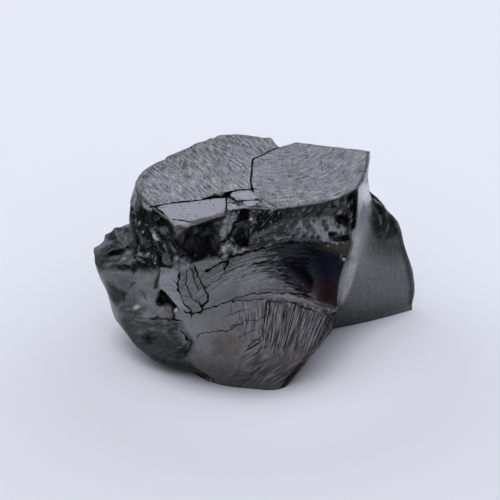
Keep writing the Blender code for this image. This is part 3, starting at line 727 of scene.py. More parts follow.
# the fine streaks run level except in these places, where they circle a middle, fan out from one or
# lean by so many degrees, down to the right
flows = {
    "arcs": ("circle", (280, 385), ((158, 292), (180, 272), (203, 271), (232, 255), (262, 247),
        (290, 241), (350, 250), (340, 309), (320, 304), (300, 296), (265, 293), (235, 298), (175, 320))),
    "fan": ("fan", (243, 505), ((214, 306), (235, 299), (265, 294), (300, 297), (338, 309), (334, 330),
        (320, 350), (290, 362), (262, 350), (236, 342), (214, 334))),
    "ripples": ("lean", -33, ((214, 334), (262, 352), (290, 364), (320, 352), (300, 374), (283, 390),
        (200, 386), (190, 372))),
    "leftFace": ("lean", 8, ((96, 270), (157, 270), (200, 300), (190, 350), (190, 374), (140, 350),
        (110, 310))),
    "wallLeft": ("lean", -35, ((222, 210), (284, 205), (284, 245), (226, 262), (216, 256))),
    "wallRight": ("lean", -62, ((284, 205), (358, 186), (356, 230), (348, 246), (284, 243))),
    "scoop": ("lean", -40, ((168, 228), (222, 216), (220, 256), (170, 262))),
    "crown": ("lean", 52, ((128, 180), (150, 205), (176, 227), (172, 240), (190, 262), (172, 272),
        (128, 272))),
    "shelf": ("lean", -28, ((90, 225), (130, 225), (130, 272), (90, 272))),
    "sliver": ("lean", -78, ((338, 280), (352, 246), (358, 186), (372, 184), (400, 220), (418, 300),
        (372, 330), (334, 332))),
}

flowScale = {"circle": 110, "fan": 190, "plate": 100}  # pixels to the radian
flowStep = 30.0  # pixels from one place's streaks to the next one's
plateFlow = (276, 80)  # the middle that the streaks of the plate's right part circle
plateLean = 38  # degrees, of the streaks on its left part
plateSeam = ((278, 140), (265, 153), (252, 161), (251.5, 189), (226, 196), (226, 232))


def pixel():
    # mm to the frame's pixel, at the middle of the stone
    return view["distance"] / (view["lens"] / view["sensor"] * view["frame"])


def furrows(place, across, pitch, rng, keen):
    # rounded lands with narrow grooves between them, each land of its own width and length
    low = across.min()
    enough = int((across.max() - low) / pitch * 1.6) + 4
    widths = rng.uniform(*lands["width"], enough) * pitch
    borders = low + np.append(0, np.cumsum(widths))
    which = np.clip(np.searchsorted(borders, across, side="right") - 1, 0, len(widths) - 1)
    t = (across - borders[which]) / widths[which]
    strength = rng.uniform(*lands["strength"], enough)[which]
    length = rng.uniform(*lands["length"], enough)[which]
    return strength * np.abs(2 * t - 1) ** keen * np.clip((length - place) * lands["ending"], 0, 1)


def fieldTurn(lean, stretch):
    # into a space where a field's chips are upright and as wide as they are long
    return np.array(Matrix.Rotation(np.radians(lean), 3, "Y")) / (1.0, 1.0, stretch)


def treeOf(seeds):
    tree = kdtree.KDTree(len(seeds))
    for index, seed in enumerate(seeds):
        tree.insert(seed, index)
    tree.balance()
    return tree


def chipDepths(points, coarse, name, rng, where):
    size, stretch, lean, deepest, proud = chipFields[name]
    turn = fieldTurn(lean, stretch)
    # a chip is a bowl around each seed; the seeds are places on the solid's own coarse grid
    picks = (rng.random((int(shape["sideArea"] / size**2), 2)) * coarse.shape[:2]).astype(int)
    tree = treeOf([coarse[row, column] @ turn for row, column in picks])
    turned = points[where] @ turn
    found = [tree.find_n(p, 2) for p in turned]
    apart = np.array([[hit[2] for hit in hits] for hits in found]).reshape(-1, 2)
    depths = np.full(points.shape[:2], -deepest * proud)
    depths[where] = deepest * (np.clip(1 - (apart[:, 0] / size) ** 2, 0, 1) - proud)
    # each chip has a painted shade of its own, which changes across it
    own = np.random.default_rng(shape["seed"])
    level = own.uniform(*chipLustreAndShade["level"], len(picks))
    slope = own.normal(0, chipLustreAndShade["slope"], (len(picks), 3))
    near = np.array([[hit[1] for hit in hits] for hits in found], int).reshape(-1, 2)
    seeds = np.array([tuple(hit[0]) for hits in found for hit in hits]).reshape(-1, 2, 3)
    each = level[near] + ((turned[:, None] - seeds) / size * slope[near]).sum(axis=2)
    border = (apart[:, 1] - apart[:, 0]) / (chipLustreAndShade["border"] * size)
    share = 0.5 + 0.5 * np.clip(border, 0, 1)
    lustreAndShade = np.zeros(points.shape[:2])
    lustreAndShade[where] = each[:, 0] * share + each[:, 1] * (1 - share)
    return depths, lustreAndShade


def splinterDepths(points, coarse, name, rng, where):
    # small tilted faces around seeds, the highest of which shows
    size, stretch, lean, slope, step = splinterFields[name]
    turn = fieldTurn(lean, stretch)
    total = int(shape["sideArea"] / size**2)
    picks = (rng.random((total, 2)) * coarse.shape[:2]).astype(int)
    scatter = rng.normal(0, size * splinterLook["scatter"], (total, 3))
    seeds = (coarse[picks[:, 0], picks[:, 1]] + scatter) @ turn
    slopes = rng.normal(0, slope, (total, 3))
    lift = rng.random(total) * step
    tree = treeOf(seeds)
    turned = points[where] @ turn
    near = [[hit[1] for hit in tree.find_n(p, splinterLook["nearest"])] for p in turned]
    near = np.array(near, int).reshape(len(turned), -1)
    apart = turned[:, None] - seeds[near]
    steepest = size / splinterLook["steepest"]
    faces = np.clip((apart * slopes[near]).sum(axis=2), -steepest, steepest)
    bowls = (apart**2).sum(axis=2) * splinterLook["bowl"] * slope / size
    deepest = splinterLook["floor"] * slope * size
    depths = np.zeros(points.shape[:2])
    depths[where] = np.maximum((lift[near] + faces - bowls).max(axis=1), deepest)
    return depths


def hollowDepths(points, middle, reach, depth):
    far = np.linalg.norm((points - middle) / reach, axis=-1)
    return depth * np.clip(1 - far**2, 0, 1)


def sideRegions(row, column):
    # the parts of the side, by the ring and the ridge that they lie near
    ring, ridge = ringAt, ridgeAt
    pastLeftTip = between(column, ridge["leftTip"] - 0.3, len(ridges), 0.5)
    beforeLeftFront = between(column, -1, 0.15, 0.4)
    return {
        "left": np.maximum(pastLeftTip, beforeLeftFront),
        "front": between(column, ridge["facet"], ridge["rightEdge"] - 0.2, 0.3),
        "back": between(column, ridge["heelTip"] + 0.3, ridge["leftTip"] - 0.8, 0.4),
        "heel": between(column, ridge["heelTip"] - 0.35, ridge["heelTip"] + 0.4, 0.5),
        "wall": between(row, ring["shelf"] + 0.2, ring["rim"] - 0.25, 0.25),
        "shelf": between(row, ring["trough"] + 0.7, ring["neck"] - 0.1, 0.4),
        "below": between(row, ring["base"] + 0.4, ring["trough"] + 0.2, 0.5),
        "clear": between(row, ring["base"] + 0.4, ring["rim"] - 0.5, 0.5),
        "upper": between(row, ring["ledge"], ring["shelf"] + 0.5, 1.5),
        "ofFront": between(column, ridge["leftFront"] - 0.1, ridge["rightEdge"] + 0.02, 0.02),
        "seen": between(column, ridge["leftTip"] - 0.6, len(ridges), 0.02)
        + between(column, -1, ridge["heelTip"] + 0.2, 0.02),
    }


def arcReach(x, y):
    return np.hypot(x - fracture["arcMiddle"][0], y - fracture["arcMiddle"][1])


def topArcs(x, y):
    # the fine arcs are stronger towards the upper edge of their face
    least = fracture["arcLeast"]
    return least + (1 - least) * smooth(arcReach(x, y), *fracture["arcTop"])


def seenRelief(x, y, at, rng):
    # depth in mm of the pits, the rib, the fine arcs, the hackles, the ripples and the foot's step
    depth = np.zeros(x.shape)
    for width, deepest, outline in pits.values():
        inside = np.clip(distanceIn(x, y, outline) / width + 0.15, 0, 1)
        depth += deepest * (1 - (1 - inside) ** 2)

    near = lineFields(x, y, fracture["ribLine"])[0]
    lift = np.interp(x, *fracture["ribLift"])
    depth -= at["ofFront"] * fracture["ribHeight"] * lift * np.exp(-near / fracture["ribReach"])

    arcX, arcY = fracture["arcMiddle"]
    turned = np.arctan2(x - arcX, arcY - y)
    left, right, share = fracture["arcCalm"]
    calm = (1 - share * smooth(x, left, right)) * topArcs(x, y)
    bend = sum(far * np.sin(turned * often + phase) for far, often, phase in fracture["arcBends"])
    fanX, fanY = fracture["fanMiddle"]
    spread = np.arctan2(x - fanX, fanY - y) * fracture["fanScale"]
    down = (y - np.interp(x, *fracture["fanTop"])) / fracture["fanLength"]
    far, over = fracture["waveBend"]
    waves = y + x * fracture["waveSlope"] + far * np.sin(x / over)
    for name, place, across, soft, keen, share in (
        ("arc", 0.0, arcReach(x, y) + bend, 2.0, 3, calm), ("fan", down, spread, 1.0, 3, 1.0),
        ("comb", down, spread, 3.0, 3, 1.0), ("wave", 0.0, waves, 5.0, 2, 1.0),
    ):
        inside = at["ofFront"] * insideOf(x, y, fracture[name + "Region"], soft) * share
        cut = furrows(place, across, fracture[name + "Pitch"], rng, keen)
        depth += inside * fracture[name + "Height"] * cut

    near = lineFields(x, y, fracture["footLine"])[0]
    depth += fracture["footDepth"] * np.exp(-near / fracture["footReach"]) * (x < fracture["footEnd"])
    return depth


def crackFields(x, y, lines, grain, jag):
    # distance from the nearest crack, in crack widths, with and without its side; a crack wanders by
    # jag and swells and thins, both over steps of grain
    near = np.full(np.shape(x), crackLook["none"])
    signed = near.copy()
    rng = np.random.default_rng(shape["seed"])
    wanderX = x + jag * (np.sin(y / grain * 1.9 + 2) + np.sin(y / grain * 0.7 + x / grain * 0.3))
    wanderY = y + jag * (np.sin(x / grain * 1.7) + np.sin(x / grain * 0.8 - y / grain * 0.4 + 1))
    for line in lines:
        points = np.array(line, float)
        far, side, along = lineFields(wanderX, wanderY, points)
        lengths = lengthsAlong(points)
        steps = np.arange(0, lengths[-1] + grain, grain)
        swell = np.interp(along * lengths[-1], steps, rng.uniform(*crackLook["swell"], len(steps)))
        drawn = np.interp(along * lengths[-1], lengths, points[:, 2]) * swell
        widths = far / np.maximum(drawn, crackLook["thinnest"])
        closer = widths < near
        near = np.where(closer, widths, near)
        signed = np.where(closer, widths * np.where(side < 0, -1, 1), signed)
    return near, signed


def evened(values, rounds):
    # spread over the grid's neighbours
    for _ in range(rounds):
        values = (values * 2 + np.roll(values, 1, axis=1) + np.roll(values, -1, axis=1)) / 4
        values[1:-1] = (values[1:-1] * 2 + values[:-2] + values[2:]) / 4
    return values


def seenShades(x, y, seen):
    # what the materials read of the painted shades and highlights, tints and crumbs at each point
    bands = np.arange(0, 400, featherPitch)
    ragged = np.random.default_rng(shape["seed"]).uniform(-1, 1, len(bands))
    ragged = np.interp(arcReach(x, y), bands, ragged) * (x < fracture["arcMiddle"][0] + 20)
    grey = np.full(x.shape, plain["grey"])
    for name, (lustreAndShade, soft, outline) in lustreAndShadeZones.items():
        drawn = x + ragged * feathered.get(name, 0.0)
        grey += (lustreAndShadeLevels[lustreAndShade] - grey) * insideOf(drawn, y, outline, soft)
    for lustreAndShade, points in glints.items():
        for gx, gy, radius in points:
            near = np.clip(1.5 - np.hypot(x - gx, y - gy) / radius, 0, 1)
            grey += (lustreAndShadeLevels[lustreAndShade] - grey) * near
    shade = grey / plain["grey"] - 1
    tint = np.zeros(x.shape + (3,))
    for colour, soft, outline in tints.values():
        tint += insideOf(x, y, outline, soft)[..., None] * colour
    rough = np.zeros(x.shape)
    for strength, outline in crumbs.values():
        rough = np.maximum(rough, strength * insideOf(x, y, outline, 2.5))
    return {"shade": shade * seen, "tint": tint * seen[..., None], "crumb": rough * seen}


def leaning(x, y, degrees):
    turn = np.radians(degrees)
    return x * np.cos(turn) + y * np.sin(turn), y * np.cos(turn) - x * np.sin(turn)


def sideFlow(x, y):
    # places for the streaks: along them, across them and a step from one outline to the next
    flow = np.stack([x, y, 0 * x], axis=-1)
    for index, (kind, at, outline) in enumerate(flows.values()):
        if kind == "lean":
            along, across = leaning(x, y, at)
        else:
            along = np.arctan2(x - at[0], at[1] - y) * flowScale[kind]
            across = np.hypot(x - at[0], y - at[1])
            if kind == "fan":
                along, across = across, along
        inside = distanceIn(x, y, outline) > 0
        step = np.full(x.shape, flowStep * (index + 1))
        flow[inside] = np.stack([along, across, step], axis=-1)[inside]
    return flow * pixel()


def plateFlows(x, y):
    middleX, middleY = plateFlow
    around = np.arctan2(x - middleX, y - middleY) * flowScale["plate"]
    reach = np.hypot(x - middleX, y - middleY)
    right = np.stack([around, reach, np.full(x.shape, flowStep * 2)], axis=-1)
    left = np.stack([*leaning(x, y, plateLean), 0 * x], axis=-1)
    seam = np.interp(y, [p[1] for p in plateSeam], [p[0] for p in plateSeam])
    return np.where((x > seam)[..., None], right, left) * pixel()


def rimInset(edge, rng):
    # how far the plate's edge is chipped back, in mm
    steps = np.linalg.norm(np.roll(edge, -1, axis=0) - edge, axis=1)
    total = steps.sum()
    along = np.append(0, np.cumsum(steps[:-1]))
    x, y = framePixels(edge)
    bites = [
        (rng.uniform(0, total), rng.uniform(*rimChips["width"]), rng.uniform(*rimChips["depth"]))
        for _ in range(rimChips["count"])
    ]
    for px, py, width, depth in rimChips["named"]:
        bites.append((along[np.argmin(np.hypot(x - px, y - py))], width, depth))
    inset = np.zeros(len(edge))
    for middle, width, depth in bites:
        far = np.abs((along - middle + total / 2) % total - total / 2)
        inset = np.maximum(inset, depth * np.clip(1 - (far / width) ** 2, 0, 1))
    return inset


def sideMarks(x, y, at, depth):
    # what the materials read at each point of the side
    seen = (at["seen"] > 0.5) * 1.0
    near, signed = crackFields(x, y, sideCracks.values(), *crackLook["side"])
    marks = {
        "crackNear": np.where(seen > 0.5, near, crackLook["none"]),
        "crackSide": signed,
        # painted shade in recesses, where the side lies deeper than its evened neighbours
        "cavityShade": np.clip((depth - evened(depth, 6)) / 0.12, 0, 1),
        "flow": sideFlow(x, y),
        **seenShades(x, y, seen),
    }
    for name, region, soft in (
        ("striae", "arc", 2.0), ("comb", "comb", 4.0), ("hackle", "fan", 3.0), ("ripple", "wave", 6.0),
        ("polish", "mirror", 6.0),
    ):
        marks[name] = at["ofFront"] * insideOf(x, y, fracture[region + "Region"], soft)
    marks["striae"] = marks["striae"] * topArcs(x, y)
    return marks


def brokenSide():
    # the side as a grid of places, with its rows and columns and what the materials read there
    coarse, _, _ = weave([shape["coarseCell"]] * len(rings), [shape["coarseCell"]] * len(ridges))
    grid, rows, columns = weave([r[0] for r in rings.values()], [r[0] for r in ridges.values()])
    rng = np.random.default_rng(shape["seed"])
    row = np.broadcast_to(rows[:, None], grid.shape[:2])
    column = np.broadcast_to(columns[None, :], grid.shape[:2])
    at = sideRegions(row, column)
    normals = outwards(grid, shape["rounds"])
    depth, lustreAndShade = np.zeros(grid.shape[:2]), np.zeros(grid.shape[:2])
    for name, mask in (
        ("frontWall", at["wall"] * at["front"]), ("leftWall", at["wall"] * at["left"]),
        ("leftShelf", at["shelf"] * at["left"]), ("leftFlank", at["below"] * at["left"]),
        ("back", at["clear"] * at["back"]), ("heelTop", at["upper"] * at["heel"]),
    ):
        chips, each = chipDepths(grid, coarse, name, rng, mask > 0)
        depth += mask * chips
        lustreAndShade += mask * each
    for name, mask in (
        ("wallFine", at["wall"] * at["front"]), ("crown", at["wall"] * at["left"]),
        ("crownFine", at["wall"] * at["left"]), ("shelf", at["shelf"] * at["left"] * (1 - at["wall"])),
        ("backFine", at["clear"] * at["back"]), ("heelFine", at["upper"] * at["heel"]),
    ):
        depth += mask * splinterDepths(grid, coarse, name, rng, mask > 0)
    for middle, reach, deepest in hollows.values():
        depth += hollowDepths(grid, middle, reach, deepest)
    x, y = framePixels(grid)
    depth += at["seen"] * seenRelief(x, y, at, rng)
    depth[[0, -1]] = 0
    marks = sideMarks(x, y, at, depth)
    unseen = at["seen"] < 0.5
    slope, most = chipLustreAndShade["crumb"]
    # the chips' painted shade on the sides that the camera doesn't see
    marks["shade"] = marks["shade"] + lustreAndShade * unseen
    marks["crumb"] = marks["crumb"] + np.clip(slope * lustreAndShade, 0, most) * unseen
    inward = -normals[-1] * (1, 1, 0)
    inward /= np.linalg.norm(inward, axis=1, keepdims=True)
    reach = np.clip(1 - (ringAt["rim"] - rows[:, None]) / rimChips["reach"], 0, 1)
    inset = rimInset(grid[-1], rng) * reach
    return grid - normals * depth[..., None] + inward * inset[..., None], rows, marks


# cracks in the parting plane, as points along each (x, y) with the crack's width there
plateCracks = {
    "long": (
        (-17.3, -10.9, 0.3), (-15.1, -10.3, 0.35), (-13.4, -9.5, 0.3), (-11.3, -8.9, 0.3),
        (-8.4, -8.3, 0.35), (-6.8, -7.5, 0.7), (-5.6, -6.9, 1.7), (-4.6, -6.5, 1.3), (-3.9, -5.8, 0.4),
        (-2.7, -5.3, 0.3), (-0.9, -5.1, 0.3),
    ),
    "stem": (
        (-0.7, -5.9, 0.3), (-0.9, -5.0, 0.3), (-1.1, -2.2, 0.25), (-0.9, 1.0, 0.25), (-0.9, 3.2, 0.25),
        (-0.7, 4.6, 0.28), (0.6, 5.8, 0.25), (1.8, 7.1, 0.25), (3.1, 8.3, 0.25),
    ),
    "lower": (
        (-4.8, -6.9, 0.6), (-4.2, -7.2, 0.5), (-3.2, -8.6, 0.4), (-2.6, -8.6, 0.3), (-1.2, -8.4, 0.3),
        (0.0, -8.3, 0.3),
    ),
    "side": ((-4.6, -7.2, 0.2), (-4.6, -9.8, 0.16), (-4.55, -11.2, 0.2)),
}

# fine cracks in it, with their widths
plateHairs = {
    "one": ((3.3, -7.4, 0.1), (6.8, -7.2, 0.06)),
    "two": ((4.6, -6.2, 0.08), (4.7, -8.3, 0.06)),
    "three": ((0.0, -8.3, 0.12), (0.8, -9.8, 0.1), (3.1, -9.5, 0.06)),
    "four": ((9.4, 4.2, 0.08), (9.5, 0.4, 0.08)),
    "upperLip": ((-4.9, -6.2, 0.3), (-3.8, -5.5, 0.16), (-2.4, -5.1, 0.2), (-0.9, -5.1, 0.16)),
    "wedge": ((-4.2, -9.0, 0.3), (-3.2, -9.4, 0.45), (-2.5, -8.8, 0.3), (-2.2, -8.5, 0.2)),
    "lens": (
        (-2.3, -8.7, 0.2), (-2.2, -9.6, 0.2), (-1.5, -10.3, 0.22), (-0.5, -10.2, 0.2), (0.3, -9.0, 0.16),
        (0.6, -8.1, 0.1),
    ),
    "tail": ((-0.5, -8.1, 0.2), (0.6, -8.0, 0.16), (1.7, -9.4, 0.12), (2.8, -10.9, 0.1)),
    "slabInner": ((-15.2, -12.2, 0.24), (-13.0, -12.6, 0.16), (-10.8, -13.0, 0.24), (-9.0, -13.3, 0.14)),
    "slabLeft": (
        (-14.8, -10.3, 0.3), (-14.2, -11.0, 0.4), (-13.5, -11.9, 0.45), (-12.8, -13.2, 0.35),
        (-12.3, -14.2, 0.25),
    ),
    "slabSliver": ((-16.4, -10.5, 0.2), (-15.6, -11.8, 0.24), (-14.6, -13.0, 0.2)),
}

plate = {
    "crackDepth": 0.7,
    "crackStep": 0.3,
    "slabHinge": ((-18.6, -11.8), (-15.1, -10.3), (-11.3, -8.9), (-8.4, -8.3), (-4.6, -7.2)),
    "slabFall": 0.19,  # mm down for each mm out
    "cell": 0.26,
    "cellDrift": 0.12,  # of a cell, at random
    "rowPitch": 0.87,  # of a cell, which makes the triangles even
    "rimMargin": 0.2,
}


def plateHeights(x, y):
    # the plate is flat but for its slab, which falls away from its hinge
    hinge = np.array(plate["slabHinge"])
    out = np.interp(x, hinge[:, 0], hinge[:, 1]) - y
    onSlab = (x < hinge[-1, 0]) & (out > 0)
    return shape["top"] - np.where(onSlab, plate["slabFall"] * out, 0.0)


def crackDepths(x, y):
    # how deep the plate's open cracks are, widest at the top
    depth = np.zeros(np.shape(x))
    for line in plateCracks.values():
        points = np.array(line)
        near, _, along = lineFields(x, y, points)
        lengths = lengthsAlong(points)
        width = np.interp(along * lengths[-1], lengths, points[:, 2])
        depth = np.maximum(depth, plate["crackDepth"] * np.clip(1 - near / (width / 2), 0, 1))
    return depth


def partingPlate(rim, rng):
    # flat triangles inside the rim, finer along the cracks
    points = [tuple(p) for p in rim[:, :2]]
    edges = [(i, (i + 1) % len(rim)) for i in range(len(rim))]
    for line in plateCracks.values():
        knots = np.array(line)
        lengths = lengthsAlong(knots)
        steps = np.linspace(0, lengths[-1], int(lengths[-1] / plate["crackStep"]) + 2)
        middle = np.stack([np.interp(steps, lengths, knots[:, k]) for k in range(3)], axis=1)
        heading = np.gradient(middle[:, :2], axis=0)
        heading /= np.linalg.norm(heading, axis=1, keepdims=True)
        across = np.stack([-heading[:, 1], heading[:, 0]], axis=1) * middle[:, 2:3] / 2
        for offset in (-1, 0, 1):
            first = len(points)
            points += [tuple(p) for p in middle[:, :2] + across * offset]
            edges += [(first + i, first + i + 1) for i in range(len(middle) - 1)]
    cell, drift = plate["cell"], plate["cell"] * plate["cellDrift"]
    low, high = rim[:, :2].min(axis=0), rim[:, :2].max(axis=0)
    x, y = np.meshgrid(np.arange(low[0], high[0], cell), np.arange(low[1], high[1], cell * plate["rowPitch"]))
    x = x + (np.arange(len(x)) % 2)[:, None] * cell / 2 + rng.normal(0, drift, x.shape)
    y = y + rng.normal(0, drift, y.shape)
    x, y = x.ravel(), y.ravel()
    keep = lineFields(x, y, np.vstack([rim[:, :2], rim[:1, :2]]))[0] > plate["rimMargin"]
    keep &= distanceIn(x, y, rim[:, :2]) > 0
    keep &= crackDepths(x, y) <= 0
    points += list(zip(x[keep], y[keep]))
    outer = [tuple(range(len(rim)))]
    found = geometry.delaunay_2d_cdt([Vector(p) for p in points], edges, outer, 1, 1e-5)
    return np.array([tuple(p) for p in found[0]]), found[2], found[3]


def plateMarks(x, y, top):
    # what the materials read at each point of the plate
    near, signed = crackFields(x, y, [*plateCracks.values(), *plateHairs.values()], *crackLook["plate"])
    seenX, seenY = framePixels(top)
    smoother = [insideOf(seenX, seenY, lustreAndShadeZones[name][2], 1.0) for name in slabPieces]
    smoother.append(calmShare * insideOf(seenX, seenY, calmHalf, 5.0))
    return {
        "crackNear": near,
        "crackSide": signed,
        # painted shade inside the plate's cracks, by their depth
        "cavityShade": crackDepths(x, y) / plate["crackDepth"],
        "polish": np.max(smoother, axis=0),
        "flow": plateFlows(seenX, seenY),
        **seenShades(seenX, seenY, np.ones(len(x))),
    }


def stoneArrays():
    # places, the side's quads, the plate's triangles, the flat break below and the marks
    grid, rows, marks = brokenSide()
    rng = np.random.default_rng(shape["seed"] + 1)
    rise = plateHeights(grid[-1, :, 0], grid[-1, :, 1]) - grid[-1, :, 2]
    grid[..., 2] += rise * between(rows, ringAt["neck"] + 0.5, len(rings), 0.5)[:, None]
    count, width = grid.shape[:2]
    report(f"side woven, {count} rows of {width}")
    flat, faces, origins = partingPlate(grid[-1], rng)
    report(f"plate cut into {len(faces)} triangles")
    last = (count - 1) * width
    place, extra = {}, []
    for index, sources in enumerate(origins):
        onRim = [s for s in sources if s < width]
        if onRim:
            place[index] = last + onRim[0]
        else:
            place[index] = count * width + len(extra)
            extra.append(index)
    x, y = flat[extra, 0], flat[extra, 1]
    top = np.stack([x, y, plateHeights(x, y) - crackDepths(x, y)], axis=1)
    flatMarks = plateMarks(x, y, top)
    for name, values in marks.items():
        rest = values.shape[2:]
        onPlate = flatMarks.get(name, np.zeros((len(extra),) + rest))
        marks[name] = np.concatenate([values.reshape((-1,) + rest), onPlate])
    quads = []
    for low in range(0, last, width):
        high = low + width
        quads += [(low + j, low + (j + 1) % width, high + (j + 1) % width, high + j) for j in range(width)]
    triangles = [tuple(place[k] for k in face) for face in faces]
    return np.vstack([grid.reshape(-1, 3), top]), quads, triangles, tuple(range(width))[::-1], marks


def stone():
    points, quads, triangles, bottom, marks = stoneArrays()
    middle = (points.min(axis=0) + points.max(axis=0)) / 2
    slide = -middle * (1, 1, 0)
    data = bpy.data.meshes.new("stone")
    data.from_pydata((points + slide) * mm, [], quads + triangles + [bottom])
    data.update()
    kinds = np.ones(len(data.polygons), int)
    kinds[len(quads):-1] = 0
    data.polygons.foreach_set("material_index", kinds)
    for name, values in marks.items():
        vector = values.ndim > 1
        layer = data.attributes.new(name, "FLOAT_VECTOR" if vector else "FLOAT", "POINT")
        layer.data.foreach_set("vector" if vector else "value", values.astype(np.float32).ravel())
    data.shade_smooth()
    data.set_sharp_from_angle(angle=np.radians(shape["edgeAngle"]))
    made = bpy.data.objects.new("shungiteStone", data)
    bpy.context.scene.collection.objects.link(made)
    return made, slide


def put(tree, kind, inputs, **settings):
    # a node with its inputs set to values or joined to other nodes' sockets
    made = tree.nodes.new("ShaderNode" + kind)
    for name, value in settings.items():
        setattr(made, name, value)
    for name, value in inputs.items():
        if isinstance(value, bpy.types.NodeSocket):
            tree.links.new(value, made.inputs[name])
        else:
            made.inputs[name].default_value = value
    return made


def maths(tree, operation, a, b=0.0):
    return put(tree, "Math", {0: a, 1: b}, operation=operation).outputs[0]


def times(tree, first, *factors):
    for factor in factors:
        first = maths(tree, "MULTIPLY", first, factor)
    return first


def summed(tree, *terms):
    # the sum of some values, where a tuple stands for the product of its values
    made = None
    for term in terms:
        value = times(tree, *term) if isinstance(term, tuple) else term
        made = value if made is None else maths(tree, "ADD", made, value)
    return made


def ramp(tree, value, low, high, soft=True):
    # 0 at low, 1 at high
    inputs = {"Value": value, "From Min": low, "From Max": high}
    return put(tree, "MapRange", inputs, interpolation_type="SMOOTHSTEP" if soft else "LINEAR").outputs[0]


def clamped(tree, value, low, high):
    return put(tree, "Clamp", {"Value": value, "Min": low, "Max": high}).outputs[0]


def mixed(tree, factor, a, b, kind="RGBA"):
    return put(tree, "Mix", {"Factor": factor, "A": a, "B": b}, data_type=kind).outputs["Result"]


def vectors(tree, operation, a, b):
    second = "Scale" if operation == "SCALE" else 1
    return put(tree, "VectorMath", {0: a, second: b}, operation=operation).outputs[0]


def stored(tree, name, output="Fac"):
    return put(tree, "Attribute", {}, attribute_name=name).outputs[output]


def newGroup(name, inputs, outputs):
    group = bpy.data.node_groups.new(name, "ShaderNodeTree")
    for label, value in inputs.items():
        kind = "NodeSocketVector" if value is None else "NodeSocketFloat"
        socket = group.interface.new_socket(label, in_out="INPUT", socket_type=kind)
        if value is not None:
            socket.default_value = value
    for label in outputs:
        group.interface.new_socket(label, in_out="OUTPUT", socket_type="NodeSocketFloat")
    return group, group.nodes.new("NodeGroupInput").outputs, group.nodes.new("NodeGroupOutput").inputs


def grainGroup():
    # two sizes of uneven grain
    group, given, out = newGroup("stoneGrain", {"Place": None, "Scale": 1.0, "Fine": 0.5}, ["Height"])

    def noise(scale, detail):
        inputs = {"Vector": given["Place"], "Scale": scale, "Detail": detail}
        return put(group, "TexNoise", inputs).outputs["Fac"]

    fine = noise(maths(group, "MULTIPLY", given["Scale"], 4.3), 4.0)
    group.links.new(summed(group, noise(given["Scale"], 3.0), (fine, given["Fine"])), out["Height"])
    return group


def streakGroup():
    # fine scratches along one direction, broken into short lengths
    inputs = {"Place": None, "Turn": 0.0, "Along": 1.0, "Across": 10.0, "Bite": 0.5}
    group, given, out = newGroup("streaks", inputs, ["Height", "Mask"])
    turned = put(
        group, "VectorRotate", {"Vector": given["Place"], "Angle": given["Turn"]}, rotation_type="Z_AXIS"
    ).outputs[0]
    size = put(group, "CombineXYZ", {0: given["Along"], 1: given["Across"], 2: given["Across"]}).outputs[0]
    scaled = vectors(group, "MULTIPLY", turned, size)
    lines = put(group, "TexNoise", {"Vector": scaled, "Scale": 1.0, "Detail": 2.0}).outputs["Fac"]
    group.links.new(lines, out["Height"])
    group.links.new(ramp(group, lines, given["Bite"], summed(group, given["Bite"], 0.12)), out["Mask"])
    return group


def hairlineGroup():
    # thin black cracks; both inputs are in crack widths
    group, given, out = newGroup("hairlines", {"Side": 9.0, "Near": 9.0}, ["Mask"])
    line = ramp(group, maths(group, "ABSOLUTE", given["Side"]), 0.75, 0.35)
    group.links.new(times(group, line, ramp(group, given["Near"], 3.0, 2.0)), out["Mask"])
    return group


def speckGroup():
    # scattered small dots
    group, given, out = newGroup("specks", {"Place": None, "Scale": 3.0, "Size": 0.15}, ["Mask"])
    dots = put(group, "TexVoronoi", {"Vector": given["Place"], "Scale": given["Scale"]}).outputs
    keep = put(group, "SeparateColor", {0: dots["Color"]}).outputs[0]
    size = times(group, given["Size"], keep)
    group.links.new(maths(group, "LESS_THAN", dots["Distance"], size), out["Mask"])
    return group


def shardGroup():
    # small broken faces, each with its own painted lightness, some as painted highlights, longer than they
    # are wide
    inputs = {"Place": None, "Scale": 2.2, "Stretch": 0.45, "Few": 0.6}
    group, given, out = newGroup("shards", inputs, ["Light", "Height"])
    size = put(group, "CombineXYZ", {0: given["Stretch"], 1: 1.0, 2: 1.0}).outputs[0]
    scaled = vectors(group, "MULTIPLY", given["Place"], size)
    cells = put(group, "TexVoronoi", {"Vector": scaled, "Scale": given["Scale"]})
    pick = put(group, "SeparateColor", {0: cells.outputs["Color"]}).outputs
    group.links.new(ramp(group, pick[0], given["Few"], 1.0), out["Light"])
    group.links.new(pick[1], out["Height"])
    return group


def principled(name):
    material = bpy.data.materials.new(name)
    material.use_nodes = True
    return material, material.node_tree.nodes["Principled BSDF"]


finishAndPaintedLight = {
    "black": (0.012, 0.012, 0.0135),
    "silver": (0.93, 0.96, 1.06),  # the painted highlight that a light face adds, for each part of light
    "lift": 0.1,  # what twice the stone's own painted light takes in base colour
    "brightest": 2.4,
    "darkest": 0.985,  # metallic, which takes the black face's own gloss away
    "ior": 2.25,
    # how dark the painted shade in recesses and cracks gets
    "cavityShade": 0.55,
    "crackDip": 0.05,  # mm
}


